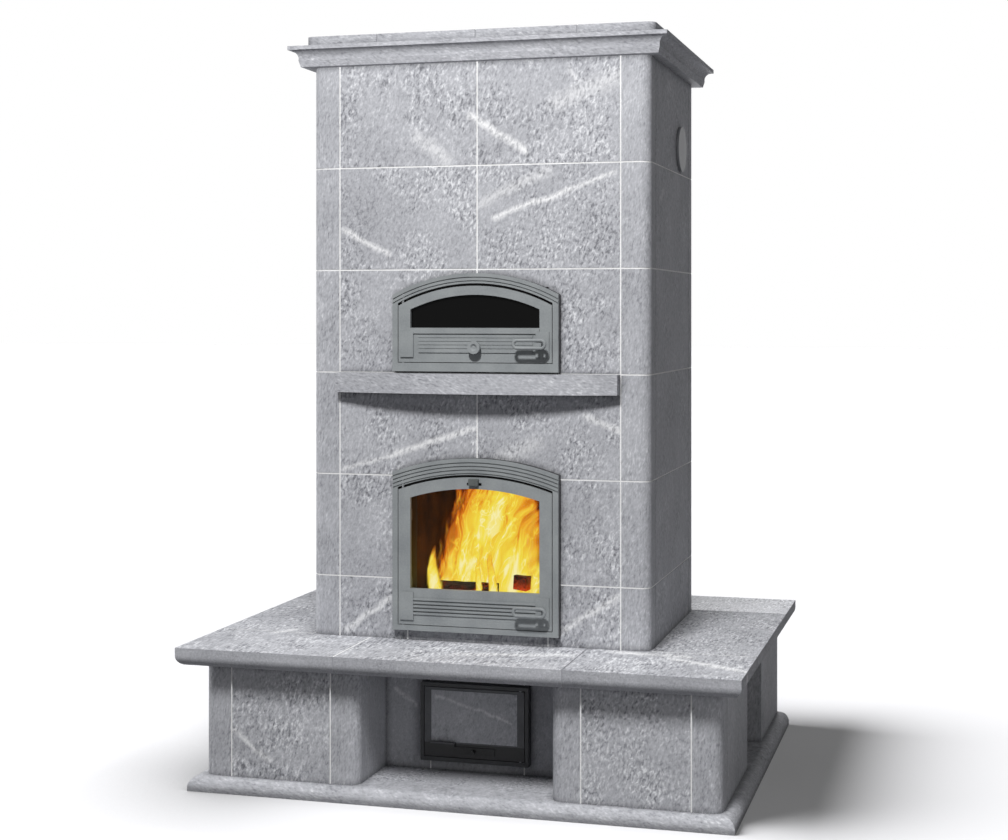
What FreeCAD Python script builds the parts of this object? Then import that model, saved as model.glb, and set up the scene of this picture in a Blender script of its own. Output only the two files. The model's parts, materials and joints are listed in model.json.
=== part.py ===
import FreeCAD, Part
import os
import re

# Soapstone masonry heater: plinth, pedestal with niches, bench, and a tower with fire, oven and ash doors.
# Frame: origin on the floor under the middle of the footprint, +X right, +Y back, +Z up, in millimetres.

doc = FreeCAD.newDocument("MasonryHeater")
sheet = doc.addObject("Spreadsheet::Sheet", "Sizes")

driving_sizes = {
    # plinth and pedestal
    "plinth_high": 40, "plinth_reach": 37, "plinth_round": 30, "plinth_strip": 120,
    "base_high": 310, "base_side": 230, "base_front": 226, "wall_thick": 60, "edge_round": 30,
    "post_wide": 80, "post_deep": 80, "inner_post": 81, "niche_half": 268, "niche_panel": 40,
    "wood_start": 243, "wood_wide": 311,
    # bench
    "bench_over": 58, "bench_deep": 1255, "bench_reach": 295, "bench_thick": 50, "bench_round": 28,
    "bench_bearing": 47, "bench_tuck": 10,
    # tower shell
    "tower_wide": 980, "tower_deep": 700, "tower_corner": 82, "shell_thick": 60,
    "joint": 4, "joint_recess": 1, "first_course": 171, "course": 290,
    "shelf_short": 1, "shelf_thick": 55, "shelf_end": 40, "shelf_bow": 52,
    # cornice and cap
    "cornice_high": 57, "cornice_reach": 56, "cornice_foot": 27, "cornice_lip": 11, "cornice_seat": 30,
    "cornice_rise": 18, "cornice_waist": 5, "cornice_step": 6,
    "cap_thick": 30, "cap_reach": 16, "cap_split": 290, "cap_round": 24,
    # arched doors, shared
    "frame_wide": 480, "frame_proud": 28, "frame_border": 16, "mouth_lap": 34, "sleeve_wall": 8,
    "leaf_thick": 12, "leaf_gap": 2, "arch_gap": 7, "stop_gap": 8.5, "stop_lap": 28, "stop_arch": 21,
    "sill_stop": 23, "seal_wide": 8, "seal_squeeze": 0.5, "seal_in": 11, "seal_arch_in": 4, "seal_foot": 5,
    "pin_radius": 4, "pin_in": 12, "pin_long": 26, "pin_fit": 0.05, "pin_seat": 0.02,
    "window_rail": 35, "glass_lap": 6, "glass_thick": 4, "clip_wide": 30, "clip_thick": 3,
    "plate_wide": 38, "plate_proud": 5, "plate_in": 7, "rib_high": 6, "rib_pitch": 10, "rib_proud": 4,
    "loop_long": 98, "loop_high": 31, "loop_bar": 4.75, "loop_stand": 36, "loop_shift": 7.5,
    "spindle_radius": 5,
    "hub_radius": 11, "handle_in": 28, "tongue_long": 22, "tongue_wide": 12, "tongue_thick": 5,
    "run_gap": 0.4,
    # fire door
    "fire_low": 30, "fire_over": 54, "fire_rise": 42, "fire_band": 45, "fire_sill": 15,
    "fire_window_low": 118, "fire_window_drop": 39, "fire_rib_low": 46, "fire_plate_low": 30,
    "fire_plate_high": 78, "fire_handle_up": 73, "groove": 3.5, "groove_pitch": 10,
    "fire_clip_rise": 190, "groove_deep": 3,
    "tab_wide": 28, "tab_high": 19, "tab_proud": 12, "tab_travel": 15, "tab_slot": 8, "tab_stem": 6,
    "tab_up": 7,
    # oven door
    "oven_low": 5, "oven_under": 11, "oven_rise": 60, "oven_band": 28, "oven_sill": 24,
    "oven_window_low": 122, "oven_window_drop": 32, "oven_plate_low": 40,
    "oven_plate_high": 72, "oven_handle_up": 78, "slide_low": 53, "slide_high": 49, "slide_stop": 1,
    "slide_clear": 9, "slide_thick": 3, "slide_travel": 14, "knob_radius": 18, "knob_up": 15,
    "knob_proud": 22, "knob_dish": 10, "knob_at": 5, "knob_neck": 7, "knob_disc": 9,
    "slide_first": 8.5, "slide_groove": 1.5, "slide_slot": 10, "oven_rail_low": 106, "oven_rail_high": 13,
    # ash door
    "ash_half": 156, "ash_low": 30, "ash_high": 218, "ash_proud": 30, "ash_border": 10, "ash_stop": 12,
    "ash_inlay_in": 20, "ash_inlay_low": 42, "ash_inlay_top": 8, "ash_inlay_deep": 8,
    "ash_ledge": 12, "ash_tab_long": 70, "ash_tab_high": 11, "ash_tab_proud": 10, "ash_pin_bite": 8,
    "vent_half": 60, "vent_low": 10, "vent_high": 20, "vent_thick": 3, "vent_knob": 5,
    "vent_knob_proud": 14, "vent_travel": 20, "vent_slot": 8,
    # core
    "chute_half": 80, "chute_start": 160, "chute_deep": 260, "chamber_deep": 500,
    "hearth_thick": 50, "grate_lap": 20, "grate_thick": 12, "grate_slot": 12,
    "core_wall": 60, "core_set": 4, "firebox_deep": 456, "throat": 60, "oven_floor_thick": 60,
    "oven_clear": 10, "oven_roof_thick": 60, "oven_port": 120,
    "box_gap": 8, "box_wall": 2, "box_high": 150, "box_deep": 420,
    "flue_radius": 90, "flue_wall": 3, "flue_out": 40, "flue_in": 20, "flue_under": 144, "flue_gap": 0.5,
    "cover_radius": 67, "cover_proud": 8, "cover_plug": 55, "cover_plug_long": 40, "cover_gap": 0.4,
    "cover_back": 467, "cover_under": 216,
}
for row, (alias, value) in enumerate(driving_sizes.items(), 1):
    sheet.set(f"A{row}", alias)
    sheet.set(f"B{row}", str(value))
    sheet.setAlias(f"B{row}", alias)
doc.recompute()


def size(alias):
    return float(sheet.get(alias))


def bind(thing, prop, formula):
    named = re.sub(r"[a-z][a-z_]+", lambda word: "Sizes." + word.group(), formula)
    thing.setExpression(prop, named)


def box(name, x, y, z):
    block = doc.addObject("Part::Box", name)
    for side, axis, (low, high) in zip(("Length", "Width", "Height"), "xyz", (x, y, z)):
        bind(block, side, f"({high}) - ({low})")
        bind(block, f"Placement.Base.{axis}", low)
    return block


turn_to = {
    "x": FreeCAD.Rotation(FreeCAD.Vector(0, 1, 0), 90),
    "y": FreeCAD.Rotation(FreeCAD.Vector(1, 0, 0), -90),
    "z": FreeCAD.Rotation(),
}


def rod(name, axis, radius, start, length):
    bar = doc.addObject("Part::Cylinder", name)
    bar.Placement.Rotation = turn_to[axis]
    bind(bar, "Radius", radius)
    bind(bar, "Height", length)
    for letter, place in zip("xyz", start):
        bind(bar, f"Placement.Base.{letter}", place)
    return bar


def cut(name, base, *tools):
    result = doc.addObject("Part::Cut", name)
    result.Base = base
    result.Tool = tools[0] if len(tools) == 1 else fuse(name + "_tools", *tools)
    return result


def fuse(name, *solids):
    result = doc.addObject("Part::MultiFuse", name)
    result.Shapes = list(solids)
    result.Refine = True
    return result


def common(name, first, second):
    result = doc.addObject("Part::Common", name)
    result.Base = first
    result.Tool = second
    return result


def group(name, solids):
    result = doc.addObject("Part::Compound", name)
    result.Links = list(solids)
    return result


def round_edges(name, base, radius, chosen):
    doc.recompute()
    rounded = doc.addObject("Part::Fillet", name)
    rounded.Base = base
    rounded.Edges = [(i, radius, radius) for i, edge in enumerate(base.Shape.Edges, 1) if chosen(edge)]
    return rounded


def upright(edge):
    return abs(edge.tangentAt(edge.FirstParameter).z) > 0.99


def middle(edge):
    return edge.BoundBox.Center


def left_of(span):
    low, high = span
    return (f"-({high})", f"-({low})")


def right_of(span):
    return span


sides = (("left", left_of), ("right", right_of))


def both_sides(name, build):
    return group(name, [build(side, flip) for side, flip in sides])


parts = {}

# Levels and planes that several sub-parts share
front = "(bench_reach - bench_deep / 2)"
back = "(bench_deep / 2)"
tower_half = "(tower_wide / 2)"
base_half = f"({tower_half} + base_side)"
tower_back = f"({front} + tower_deep)"
base_top = "(plinth_high + base_high)"
seat = "(plinth_high + base_high + bench_thick)"
base_plane = f"({front} - base_front)"
half_joint = "joint / 2"


def bed(count):
    return f"({seat} + first_course + {count} * course)"


tower_top = bed(5)
course_levels = [seat] + [bed(count) for count in range(6)]

# Plinth: mitred front and side edge stones with a quarter-round top edge, and the floor inside them
plinth_half = f"({base_half} + plinth_reach)"
plinth_plane = f"({base_plane} - plinth_reach)"
strip_half = f"({plinth_half} - plinth_strip)"
plinth_span = (f"-{plinth_half}", plinth_half)
plinth_levels = ("0", "plinth_high")
plinth_block = box("plinth_block", plinth_span, (plinth_plane, back), plinth_levels)


def plinth_edge(edge):
    inside = middle(edge)
    at_back = inside.y > size("bench_deep") / 2 - 1
    return not upright(edge) and inside.z > size("plinth_high") - 1 and not at_back


plinth_blank = round_edges("plinth_blank", plinth_block, size("plinth_round"), plinth_edge)


def mitre(name, plane, inner_plane, half, inner_half, levels):
    wedge = doc.addObject("Part::Wedge", name)
    low, high = levels
    limits = {
        "Xmin": f"-{half}", "Xmax": half, "X2min": f"-{inner_half}", "X2max": inner_half,
        "Ymin": plane, "Ymax": inner_plane, "Zmin": low, "Zmax": high, "Z2min": low, "Z2max": high,
    }
    for prop, formula in limits.items():
        bind(wedge, prop, formula)
    return wedge


strip_plane = f"({plinth_plane} + plinth_strip)"
plinth_mitre = mitre("plinth_mitre", plinth_plane, strip_plane, plinth_half, strip_half, plinth_levels)
parts["plinth_front"] = common("plinth_front", plinth_blank, plinth_mitre)


def plinth_side(side, flip):
    strip = box(f"plinth_{side}_strip", flip((strip_half, plinth_half)), (plinth_plane, back), plinth_levels)
    return cut(f"plinth_{side}", common(f"plinth_{side}_length", plinth_blank, strip), plinth_mitre)


parts["plinth_sides"] = both_sides("plinth_sides", plinth_side)
inner_span = (f"-{strip_half}", strip_half)
parts["plinth_floor"] = box("plinth_floor", inner_span, (strip_plane, back), plinth_levels)

# Pedestal: posts with a rounded edge, panels between them, niche walls, side walls with a wood niche
base_levels = ("plinth_high", base_top)
post_start = f"({base_half} - post_wide)"
panel_start = "(niche_half + inner_post)"
post_back = f"({base_plane} + post_deep)"
wood_end = "(wood_start + wood_wide)"
wall_inside = f"({base_half} - wall_thick)"


def rounded_post(name, x, flip, outer):
    block = box(f"{name}_block", flip(x), (base_plane, post_back), base_levels)
    doc.recompute()
    box_limits = block.Shape.BoundBox
    far_side = box_limits.XMax if (box_limits.Center.x > 0) == outer else box_limits.XMin
    front_side = box_limits.YMin

    def corner(edge):
        place = middle(edge)
        return upright(edge) and abs(place.x - far_side) < 0.01 and abs(place.y - front_side) < 0.01

    return round_edges(name, block, size("edge_round"), corner)


def corner_post(side, flip):
    return rounded_post(f"corner_post_{side}", (f"{post_start} + {half_joint}", base_half), flip, True)


def inner_post(side, flip):
    return rounded_post(f"inner_post_{side}", ("niche_half", f"{panel_start} - {half_joint}"), flip, False)


def front_panel(side, flip):
    x = (f"{panel_start} + {half_joint}", f"{post_start} - {half_joint}")
    return box(f"front_panel_{side}", flip(x), (base_plane, f"{base_plane} + wall_thick"), base_levels)


def niche_side(side, flip):
    y = (f"{post_back} + joint", f"{front} + niche_panel")
    return box(f"niche_side_{side}", flip(("niche_half", "niche_half + wall_thick")), y, base_levels)


def side_wall(side, flip):
    x = flip((wall_inside, base_half))
    ahead = box(f"side_wall_{side}_ahead", x, (f"{post_back} + joint", f"{front} + wood_start"), base_levels)
    behind = box(f"side_wall_{side}_behind", x, (f"{front} + {wood_end}", back), base_levels)
    return group(f"side_wall_{side}", [ahead, behind])


def wood_niche_wall(side, flip):
    x = flip((tower_half, f"{wall_inside} - joint"))
    ahead = (f"{front} + wood_start - wall_thick", f"{front} + wood_start")
    behind = (f"{front} + {wood_end}", f"{front} + {wood_end} + wall_thick")
    walls = [box(f"wood_niche_{side}_{i}", x, y, base_levels) for i, y in enumerate((ahead, behind))]
    return group(f"wood_niche_{side}", walls)


def back_panel(side, flip):
    y = (f"{back} - wall_thick", back)
    return box(f"back_panel_{side}", flip((tower_half, wall_inside)), y, base_levels)


for label, build in (
    ("corner_posts", corner_post),
    ("front_panels", front_panel),
    ("inner_posts", inner_post),
    ("niche_sides", niche_side),
    ("side_walls", side_wall),
    ("wood_niche_walls", wood_niche_wall),
    ("back_panels", back_panel),
):
    parts[label] = both_sides(label, build)

# Niche back wall round the ash door, and the masonry core of the pedestal round the ash chamber
chamber_half = "(ash_half - ash_border - ash_stop)"
ash_bottom = "(plinth_high + ash_low)"
ash_top = f"({ash_bottom} + ash_high)"
chamber_low = f"({ash_bottom} + ash_ledge + ash_stop)"
chamber_high = f"({ash_top} - ash_border - ash_stop)"
panel_back = f"({front} + niche_panel)"
chamber_back = f"({panel_back} + chamber_deep)"
chute_front = f"({front} + chute_start)"
chute_back = f"({front} + chute_start + chute_deep)"
chamber_span = (f"-{chamber_half}", chamber_half)
panel_y = (front, panel_back)
jamb_span = (f"{chamber_half} + joint", "niche_half")
parts["niche_back"] = group("niche_back", [
    box("niche_jamb_left", left_of(jamb_span), panel_y, base_levels),
    box("niche_jamb_right", jamb_span, panel_y, base_levels),
    box("niche_sill", chamber_span, panel_y, ("plinth_high", chamber_low)),
    box("niche_lintel", chamber_span, panel_y, (chamber_high, base_top)),
])
core_span = (chamber_half, tower_half)
parts["base_core"] = group("base_core", [
    box("core_left", left_of(core_span), (panel_back, back), base_levels),
    box("core_right", core_span, (panel_back, back), base_levels),
    box("core_rear", chamber_span, (chamber_back, back), base_levels),
    box("chamber_floor", chamber_span, (panel_back, chamber_back), ("plinth_high", chamber_low)),
    box("chamber_roof_ahead", chamber_span, (panel_back, chute_front), (chamber_high, base_top)),
    box("chamber_roof_behind", chamber_span, (chute_back, chamber_back), (chamber_high, base_top)),
])

# Bench: one nosed slab outline, cut into slabs that run a little way under the tower
bench_half = f"({base_half} + bench_over)"
bench_plane = f"({front} - bench_reach)"
tuck_front = f"({front} + bench_tuck)"
tuck_back = f"({tower_back} - bench_tuck)"
tuck_half = f"({tower_half} - bench_tuck)"
bench_levels = (base_top, seat)


def nosed_slab(name, inset):
    x = (f"-({bench_half} - {inset})", f"{bench_half} - {inset}")
    slab = box(f"{name}_block", x, (f"{bench_plane} + {inset}", back), (base_top, f"{seat} - {inset}"))
    doc.recompute()
    limits = slab.Shape.BoundBox

    def lower_edge(edge):
        place = middle(edge)
        return not upright(edge) and place.z < limits.ZMin + 0.01 and place.y < limits.YMax - 0.01

    return round_edges(name, slab, size("bench_round"), lower_edge)


bench_blank = nosed_slab("bench_blank", "0")
bench_mortar_blank = nosed_slab("bench_mortar_blank", "joint_recess")


def bench_slab(name, x, y):
    return common(name, bench_blank, box(f"{name}_cut", x, y, bench_levels))


front_row = (bench_plane, f"{tuck_front} - {half_joint}")
side_row = (f"{tuck_front} + {half_joint}", f"{tuck_back} - {half_joint}")
bench_split = "(niche_half + bench_bearing)"
outer_span = (f"{bench_split} + {half_joint}", bench_half)
side_span = (f"{tuck_half} + {half_joint}", bench_half)
whole_bench = (f"-{bench_half}", bench_half)
middle_span = (f"-({bench_split} - {half_joint})", f"{bench_split} - {half_joint}")
parts["bench_front_left"] = bench_slab("bench_front_left", left_of(outer_span), front_row)
parts["bench_front_middle"] = bench_slab("bench_front_middle", middle_span, front_row)
parts["bench_front_right"] = bench_slab("bench_front_right", outer_span, front_row)
parts["bench_sides"] = both_sides(
    "bench_sides", lambda side, flip: bench_slab(f"bench_{side}", flip(side_span), side_row))
parts["bench_back"] = bench_slab("bench_back", whole_bench, (f"{tuck_back} + {half_joint}", back))
slab_half = f"({tuck_half} - {half_joint})"
slab_span = (f"-{slab_half}", slab_half)
beside_chute = ("chute_half", slab_half)
chute_y = (chute_front, chute_back)
parts["tower_base"] = group("tower_base", [
    box("tower_base_ahead", slab_span, (side_row[0], chute_front), bench_levels),
    box("tower_base_behind", slab_span, (chute_back, side_row[1]), bench_levels),
    box("tower_base_left", left_of(beside_chute), chute_y, bench_levels),
    box("tower_base_right", beside_chute, chute_y, bench_levels),
])

# Tower shell: a tube with rounded corners, cut into corner stones and face slabs, course by course
shell_inside = f"({tower_half} - shell_thick)"
shell_front = f"({front} + shell_thick)"
shell_back = f"({tower_back} - shell_thick)"
corner_half = f"({tower_half} - tower_corner)"
corner_front = f"({front} + tower_corner)"
corner_back = f"({tower_back} - tower_corner)"
whole_tower = (seat, tower_top)


def shell_tube(name, inset):
    x = (f"-({tower_half} - {inset})", f"{tower_half} - {inset}")
    block = box(f"{name}_block", x, (f"{front} + {inset}", f"{tower_back} - {inset}"), whole_tower)
    rounded = round_edges(f"{name}_rounded", block, size("edge_round"), upright)
    hollow = box(f"{name}_hollow", (f"-{shell_inside}", shell_inside), (shell_front, shell_back), whole_tower)
    return cut(name, rounded, hollow)


shell = shell_tube("shell", "0")
shell_mortar_blank = shell_tube("shell_mortar_blank", "joint_recess")


def stone_levels(count):
    low = course_levels[count] if count == 0 else f"{course_levels[count]} + {half_joint}"
    high = course_levels[count + 1] if count == 5 else f"{course_levels[count + 1]} - {half_joint}"
    return (low, high)


def stone(name, x, y, count):
    return common(name, shell, box(f"{name}_cut", x, y, stone_levels(count)))


corner_x = (f"{corner_half} + {half_joint}", tower_half)
front_depth = (front, f"{corner_front} - {half_joint}")
back_depth = (f"{corner_back} + {half_joint}", tower_back)
for place, depth in (("front", front_depth), ("back", back_depth)):
    stones = []
    for count in range(6):
        stones.append(stone(f"{place}_corner_left_{count}", left_of(corner_x), depth, count))
        stones.append(stone(f"{place}_corner_right_{count}", corner_x, depth, count))
    parts[f"{place}_corner_stones"] = group(f"{place}_corner_stones", stones)

# Front slabs: the fire door stands between the slabs of two courses, the oven door is let into one course
frame_half = "(frame_wide / 2)"
mouth_half = f"({frame_half} - mouth_lap)"
shell_front_y = (front, shell_front)
face_edge = f"{corner_half} - {half_joint}"


def slab_pair(count, inner):
    return [box(f"front_slab_{count}_{side}", flip((inner, face_edge)), shell_front_y, stone_levels(count))
            for side, flip in sides]


fire_bottom = f"({seat} + fire_low)"
fire_apex = f"({bed(1)} + fire_over)"
oven_bottom = f"({bed(2)} + oven_low)"
oven_apex = f"({bed(3)} - oven_under)"


def arch_radius(rise):
    return f"((({frame_half})^2 + ({rise})^2) / (2 * {rise}))"


fire_radius = arch_radius("fire_rise")
oven_radius = arch_radius("oven_rise")
fire_centre = f"({fire_apex} - {fire_radius})"
oven_centre = f"({oven_apex} - {oven_radius})"
fire_sleeve_low = f"({fire_bottom} + fire_sill + sill_stop - sleeve_wall)"
oven_sleeve_low = f"({oven_bottom} + oven_sill + sill_stop - sleeve_wall)"
sleeve_gap = "(frame_border + stop_lap - sleeve_wall - mouth_lap)"
oven_mouth_low = f"({oven_sleeve_low} - {sleeve_gap})"
oven_sleeve_top = f"({oven_apex} - oven_band - stop_arch + sleeve_wall)"
oven_mouth_high = f"({oven_sleeve_top} + {sleeve_gap})"
sill_span = (f"-({mouth_half} - joint)", f"{mouth_half} - joint")
sill_stone = box("sill_stone", sill_span, shell_front_y, (seat, f"{fire_sleeve_low} - {sleeve_gap}"))
fire_slabs = slab_pair(0, mouth_half) + slab_pair(1, mouth_half)
parts["fire_front_slabs"] = group("fire_front_slabs", fire_slabs + [sill_stone])
mouth_span = (f"-{mouth_half}", mouth_half)
oven_mouth = box("oven_mouth", mouth_span, shell_front_y, (oven_mouth_low, oven_mouth_high))
oven_slabs = [cut(f"{slab.Label}_notched", slab, oven_mouth) for slab in slab_pair(3, half_joint)]
parts["middle_front_slabs"] = group("middle_front_slabs", slab_pair(2, half_joint) + oven_slabs)
parts["upper_front_slabs"] = group("upper_front_slabs", slab_pair(4, half_joint) + slab_pair(5, half_joint))

# Side and back slabs; the top right slab has the cleaning hole, the top back slab the flue hole
side_face_y = (f"{corner_front} + {half_joint}", f"{corner_back} - {half_joint}")
shell_side_x = (shell_inside, tower_half)
shell_back_y = (shell_back, tower_back)
flue_height = f"({tower_top} - flue_under)"
flue_outside = "(flue_radius + flue_wall)"
cover_y = f"({front} + cover_back)"
cover_z = f"({tower_top} - cover_under)"
cover_hole = rod("cover_hole", "x", "cover_plug + cover_gap", (shell_inside, cover_y, cover_z), "shell_thick")
flue_hole = rod("flue_hole", "y", f"{flue_outside} + flue_gap", ("0", shell_back, flue_height), "shell_thick")


def side_slabs(side, flip):
    return [box(f"{side}_slab_{count}", flip(shell_side_x), side_face_y, stone_levels(count))
            for count in range(6)]


right_slabs = side_slabs("right", right_of)
right_slabs[5] = cut("right_slab_with_hole", right_slabs[5], cover_hole)
parts["left_side_slabs"] = group("left_side_slabs", side_slabs("left", left_of))
parts["right_side_slabs"] = group("right_side_slabs", right_slabs)
back_x = (f"-({face_edge})", face_edge)
back_slabs = [box(f"back_slab_{count}", back_x, shell_back_y, stone_levels(count)) for count in range(6)]
back_slabs[5] = cut("back_slab_with_hole", back_slabs[5], flue_hole)
parts["back_slabs"] = group("back_slabs", back_slabs)

# Mortar in the joints, set back a little from the faces of the stones
mortar = []


def mortar_strip(blank, x, y, z):
    name = f"mortar_{len(mortar)}"
    mortar.append(common(name, blank, box(f"{name}_cut", x, y, z)))


def joint_at(place):
    return (f"{place} - {half_joint}", f"{place} + {half_joint}")


tower_span = (f"-{tower_half}", tower_half)
for count in range(5):
    mortar_strip(shell_mortar_blank, tower_span, (front, tower_back), joint_at(bed(count)))
fire_mouth = box("fire_mouth", mouth_span, shell_front_y, joint_at(bed(0)))
mortar[0] = cut("fire_bed_joint", mortar[0], fire_mouth)
for count in range(6):
    levels = stone_levels(count)
    for flip in (left_of, right_of):
        mortar_strip(shell_mortar_blank, flip(joint_at(corner_half)), (front, shell_front), levels)
        mortar_strip(shell_mortar_blank, flip(joint_at(corner_half)), (shell_back, tower_back), levels)
        mortar_strip(shell_mortar_blank, flip(shell_side_x), joint_at(corner_front), levels)
        mortar_strip(shell_mortar_blank, flip(shell_side_x), joint_at(corner_back), levels)
for count in (2, 4, 5):
    mortar_strip(shell_mortar_blank, joint_at("0"), (front, shell_front), stone_levels(count))
oven_course = stone_levels(3)
mortar_strip(shell_mortar_blank, joint_at("0"), (front, shell_front), (oven_mouth_high, oven_course[1]))
mortar_strip(shell_mortar_blank, joint_at("0"), (front, shell_front), (oven_course[0], oven_mouth_low))
sill_joint = (f"{mouth_half} - joint", mouth_half)
for flip in (left_of, right_of):
    sill_levels = (seat, f"{fire_sleeve_low} - {sleeve_gap}")
    mortar_strip(shell_mortar_blank, flip(sill_joint), (front, shell_front), sill_levels)
    mortar_strip(bench_mortar_blank, flip(joint_at(bench_split)), front_row, bench_levels)
    mortar_strip(bench_mortar_blank, flip(joint_at(tuck_half)), side_row, bench_levels)
mortar_strip(bench_mortar_blank, whole_bench, joint_at(tuck_front), bench_levels)
mortar_strip(bench_mortar_blank, whole_bench, joint_at(tuck_back), bench_levels)


def pedestal_joint(name, x, y):
    mortar.append(box(name, x, y, base_levels))


for side, flip in sides:
    behind_face = (f"{base_plane} + joint_recess", f"{base_plane} + wall_thick")
    pedestal_joint(f"post_joint_{side}", flip(joint_at(post_start)), behind_face)
    pedestal_joint(f"inner_joint_{side}", flip(joint_at(panel_start)), behind_face)
    return_joint = (post_back, f"{post_back} + joint")
    pedestal_joint(f"return_joint_{side}", flip((wall_inside, f"{base_half} - joint_recess")), return_joint)
    niche_x = ("niche_half + joint_recess", "niche_half + wall_thick")
    pedestal_joint(f"niche_joint_{side}", flip(niche_x), return_joint)
    jamb_y = (f"{front} + joint_recess", panel_back)
    pedestal_joint(f"jamb_joint_{side}", flip((chamber_half, f"{chamber_half} + joint")), jamb_y)
    wood_x = (f"{wall_inside} - joint", wall_inside)
    for place, y in (
        ("ahead", (f"{front} + wood_start - wall_thick", f"{front} + wood_start - joint_recess")),
        ("behind", (f"{front} + {wood_end} + joint_recess", f"{front} + {wood_end} + wall_thick")),
    ):
        pedestal_joint(f"wood_joint_{side}_{place}", flip(wood_x), y)
parts["joint_mortar"] = group("joint_mortar", mortar)

# Mantel shelf with a bowed front, as wide as the face slabs, its top at the joint under the oven course
shelf_half = f"({corner_half} - shelf_short)"
shelf_plane = f"({front} - shelf_end - shelf_bow)"
shelf_radius = f"(({shelf_half}^2 + shelf_bow^2) / (2 * shelf_bow))"
shelf_low = f"({bed(2)} - shelf_thick)"
shelf_block = box("shelf_block", (f"-{shelf_half}", shelf_half), (shelf_plane, front), (shelf_low, bed(2)))
shelf_centre = ("0", f"{shelf_plane} + {shelf_radius}", shelf_low)
shelf_bowl = rod("shelf_bowl", "z", shelf_radius, shelf_centre, "shelf_thick")
parts["mantel_shelf"] = common("mantel_shelf", shelf_block, shelf_bowl)

# Cornice: a coved moulding in four mitred lengths round the top cover slab, with the cap slabs on it
cornice_levels = (tower_top, f"{tower_top} + cornice_high")
cove_depth_share = 1 / 5


def cornice_profile():
    high = size("cornice_high")
    lip = size("cornice_lip")
    reach = size("cornice_reach")
    foot = size("cornice_foot")
    waist = foot + size("cornice_waist")
    rise = size("cornice_rise")
    shoulder = reach - size("cornice_step")
    cove_start = FreeCAD.Vector(waist, 0, rise)
    cove_end = FreeCAD.Vector(shoulder, 0, high - lip)
    chord = cove_end - cove_start
    inward = FreeCAD.Vector(-chord.z, 0, chord.x).normalize()
    cove_middle = (cove_start + cove_end) / 2 + inward * chord.Length * cove_depth_share
    inner = -size("cornice_seat")
    corners = [
        (shoulder, high - lip), (reach, high - lip), (reach, high), (inner, high), (inner, 0), (foot, 0),
        (waist, rise),
    ]
    points = [FreeCAD.Vector(across, 0, up) for across, up in corners]
    edges = [Part.LineSegment(a, b).toShape() for a, b in zip(points, points[1:])]
    edges.append(Part.Arc(cove_start, cove_middle, cove_end).toShape())
    return Part.Face(Part.Wire(Part.__sortEdges__(edges)))


def cornice_length(name, long, turn, place):
    whole = long + 2 * size("cornice_reach")
    length = doc.addObject("Part::Feature", name)
    profile = cornice_profile()
    profile.translate(FreeCAD.Vector(0, -whole / 2, 0))
    length.Shape = profile.extrude(FreeCAD.Vector(0, whole, 0))
    length.Placement = FreeCAD.Placement(place, FreeCAD.Rotation(FreeCAD.Vector(0, 0, 1), turn))
    return length


wide = size("tower_wide")
deep = size("tower_deep")
tower_y = size("bench_reach") - size("bench_deep") / 2
tower_mid = tower_y + deep / 2
seat_z = size("plinth_high") + size("base_high") + size("bench_thick")
top_z = seat_z + size("first_course") + 5 * size("course")
reach_half = f"({tower_half} + cornice_reach)"
seat_half = f"({tower_half} - cornice_seat)"
cornice_front_y = (f"({front} - cornice_reach)", f"({front} + cornice_seat)")
front_mitre = mitre("cornice_front_mitre", *cornice_front_y, reach_half, seat_half, cornice_levels)
back_mitre = mitre("cornice_back_mitre", f"({tower_back} - cornice_seat)", f"({tower_back} + cornice_reach)",
                   seat_half, reach_half, cornice_levels)
front_length = cornice_length("front_length", wide, -90, FreeCAD.Vector(0, tower_y, top_z))
back_length = cornice_length("back_length", wide, 90, FreeCAD.Vector(0, tower_y + deep, top_z))
left_length = cornice_length("left_length", deep, 180, FreeCAD.Vector(-wide / 2, tower_mid, top_z))
right_length = cornice_length("right_length", deep, 0, FreeCAD.Vector(wide / 2, tower_mid, top_z))
parts["cornice_front"] = common("cornice_front", front_length, front_mitre)
cornice_back = common("cornice_back", back_length, back_mitre)
side_lengths = [cut(f"{length.Label}_mitred", length, front_mitre, back_mitre)
                for length in (left_length, right_length)]
parts["cornice_returns"] = group("cornice_returns", side_lengths + [cornice_back])
cover_span = (f"-{seat_half}", seat_half)
top_cover_y = (f"{front} + cornice_seat", f"{tower_back} - cornice_seat")
parts["top_cover"] = box("top_cover", cover_span, top_cover_y, cornice_levels)

cap_half = f"({tower_half} + cap_reach)"
cap_low = f"({tower_top} + cornice_high)"
cap_levels = (cap_low, f"{cap_low} + cap_thick")
cap_y = (f"{front} - cap_reach", f"{tower_back} + cap_reach")
cap_block = box("cap_block", (f"-{cap_half}", cap_half), cap_y, cap_levels)
cap_blank = round_edges("cap_blank", cap_block, size("cap_round"), upright)
inner_cap = (half_joint, f"cap_split - {half_joint}")
outer_cap = (f"cap_split + {half_joint}", cap_half)
cap_cuts = {"outer_left": left_of(outer_cap), "inner_left": left_of(inner_cap),
            "inner_right": inner_cap, "outer_right": outer_cap}
cap_slabs = [common(f"cap_{place}", cap_blank, box(f"cap_{place}_cut", x, cap_y, cap_levels))
             for place, x in cap_cuts.items()]
parts["cap_slabs"] = group("cap_slabs", cap_slabs)

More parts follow.
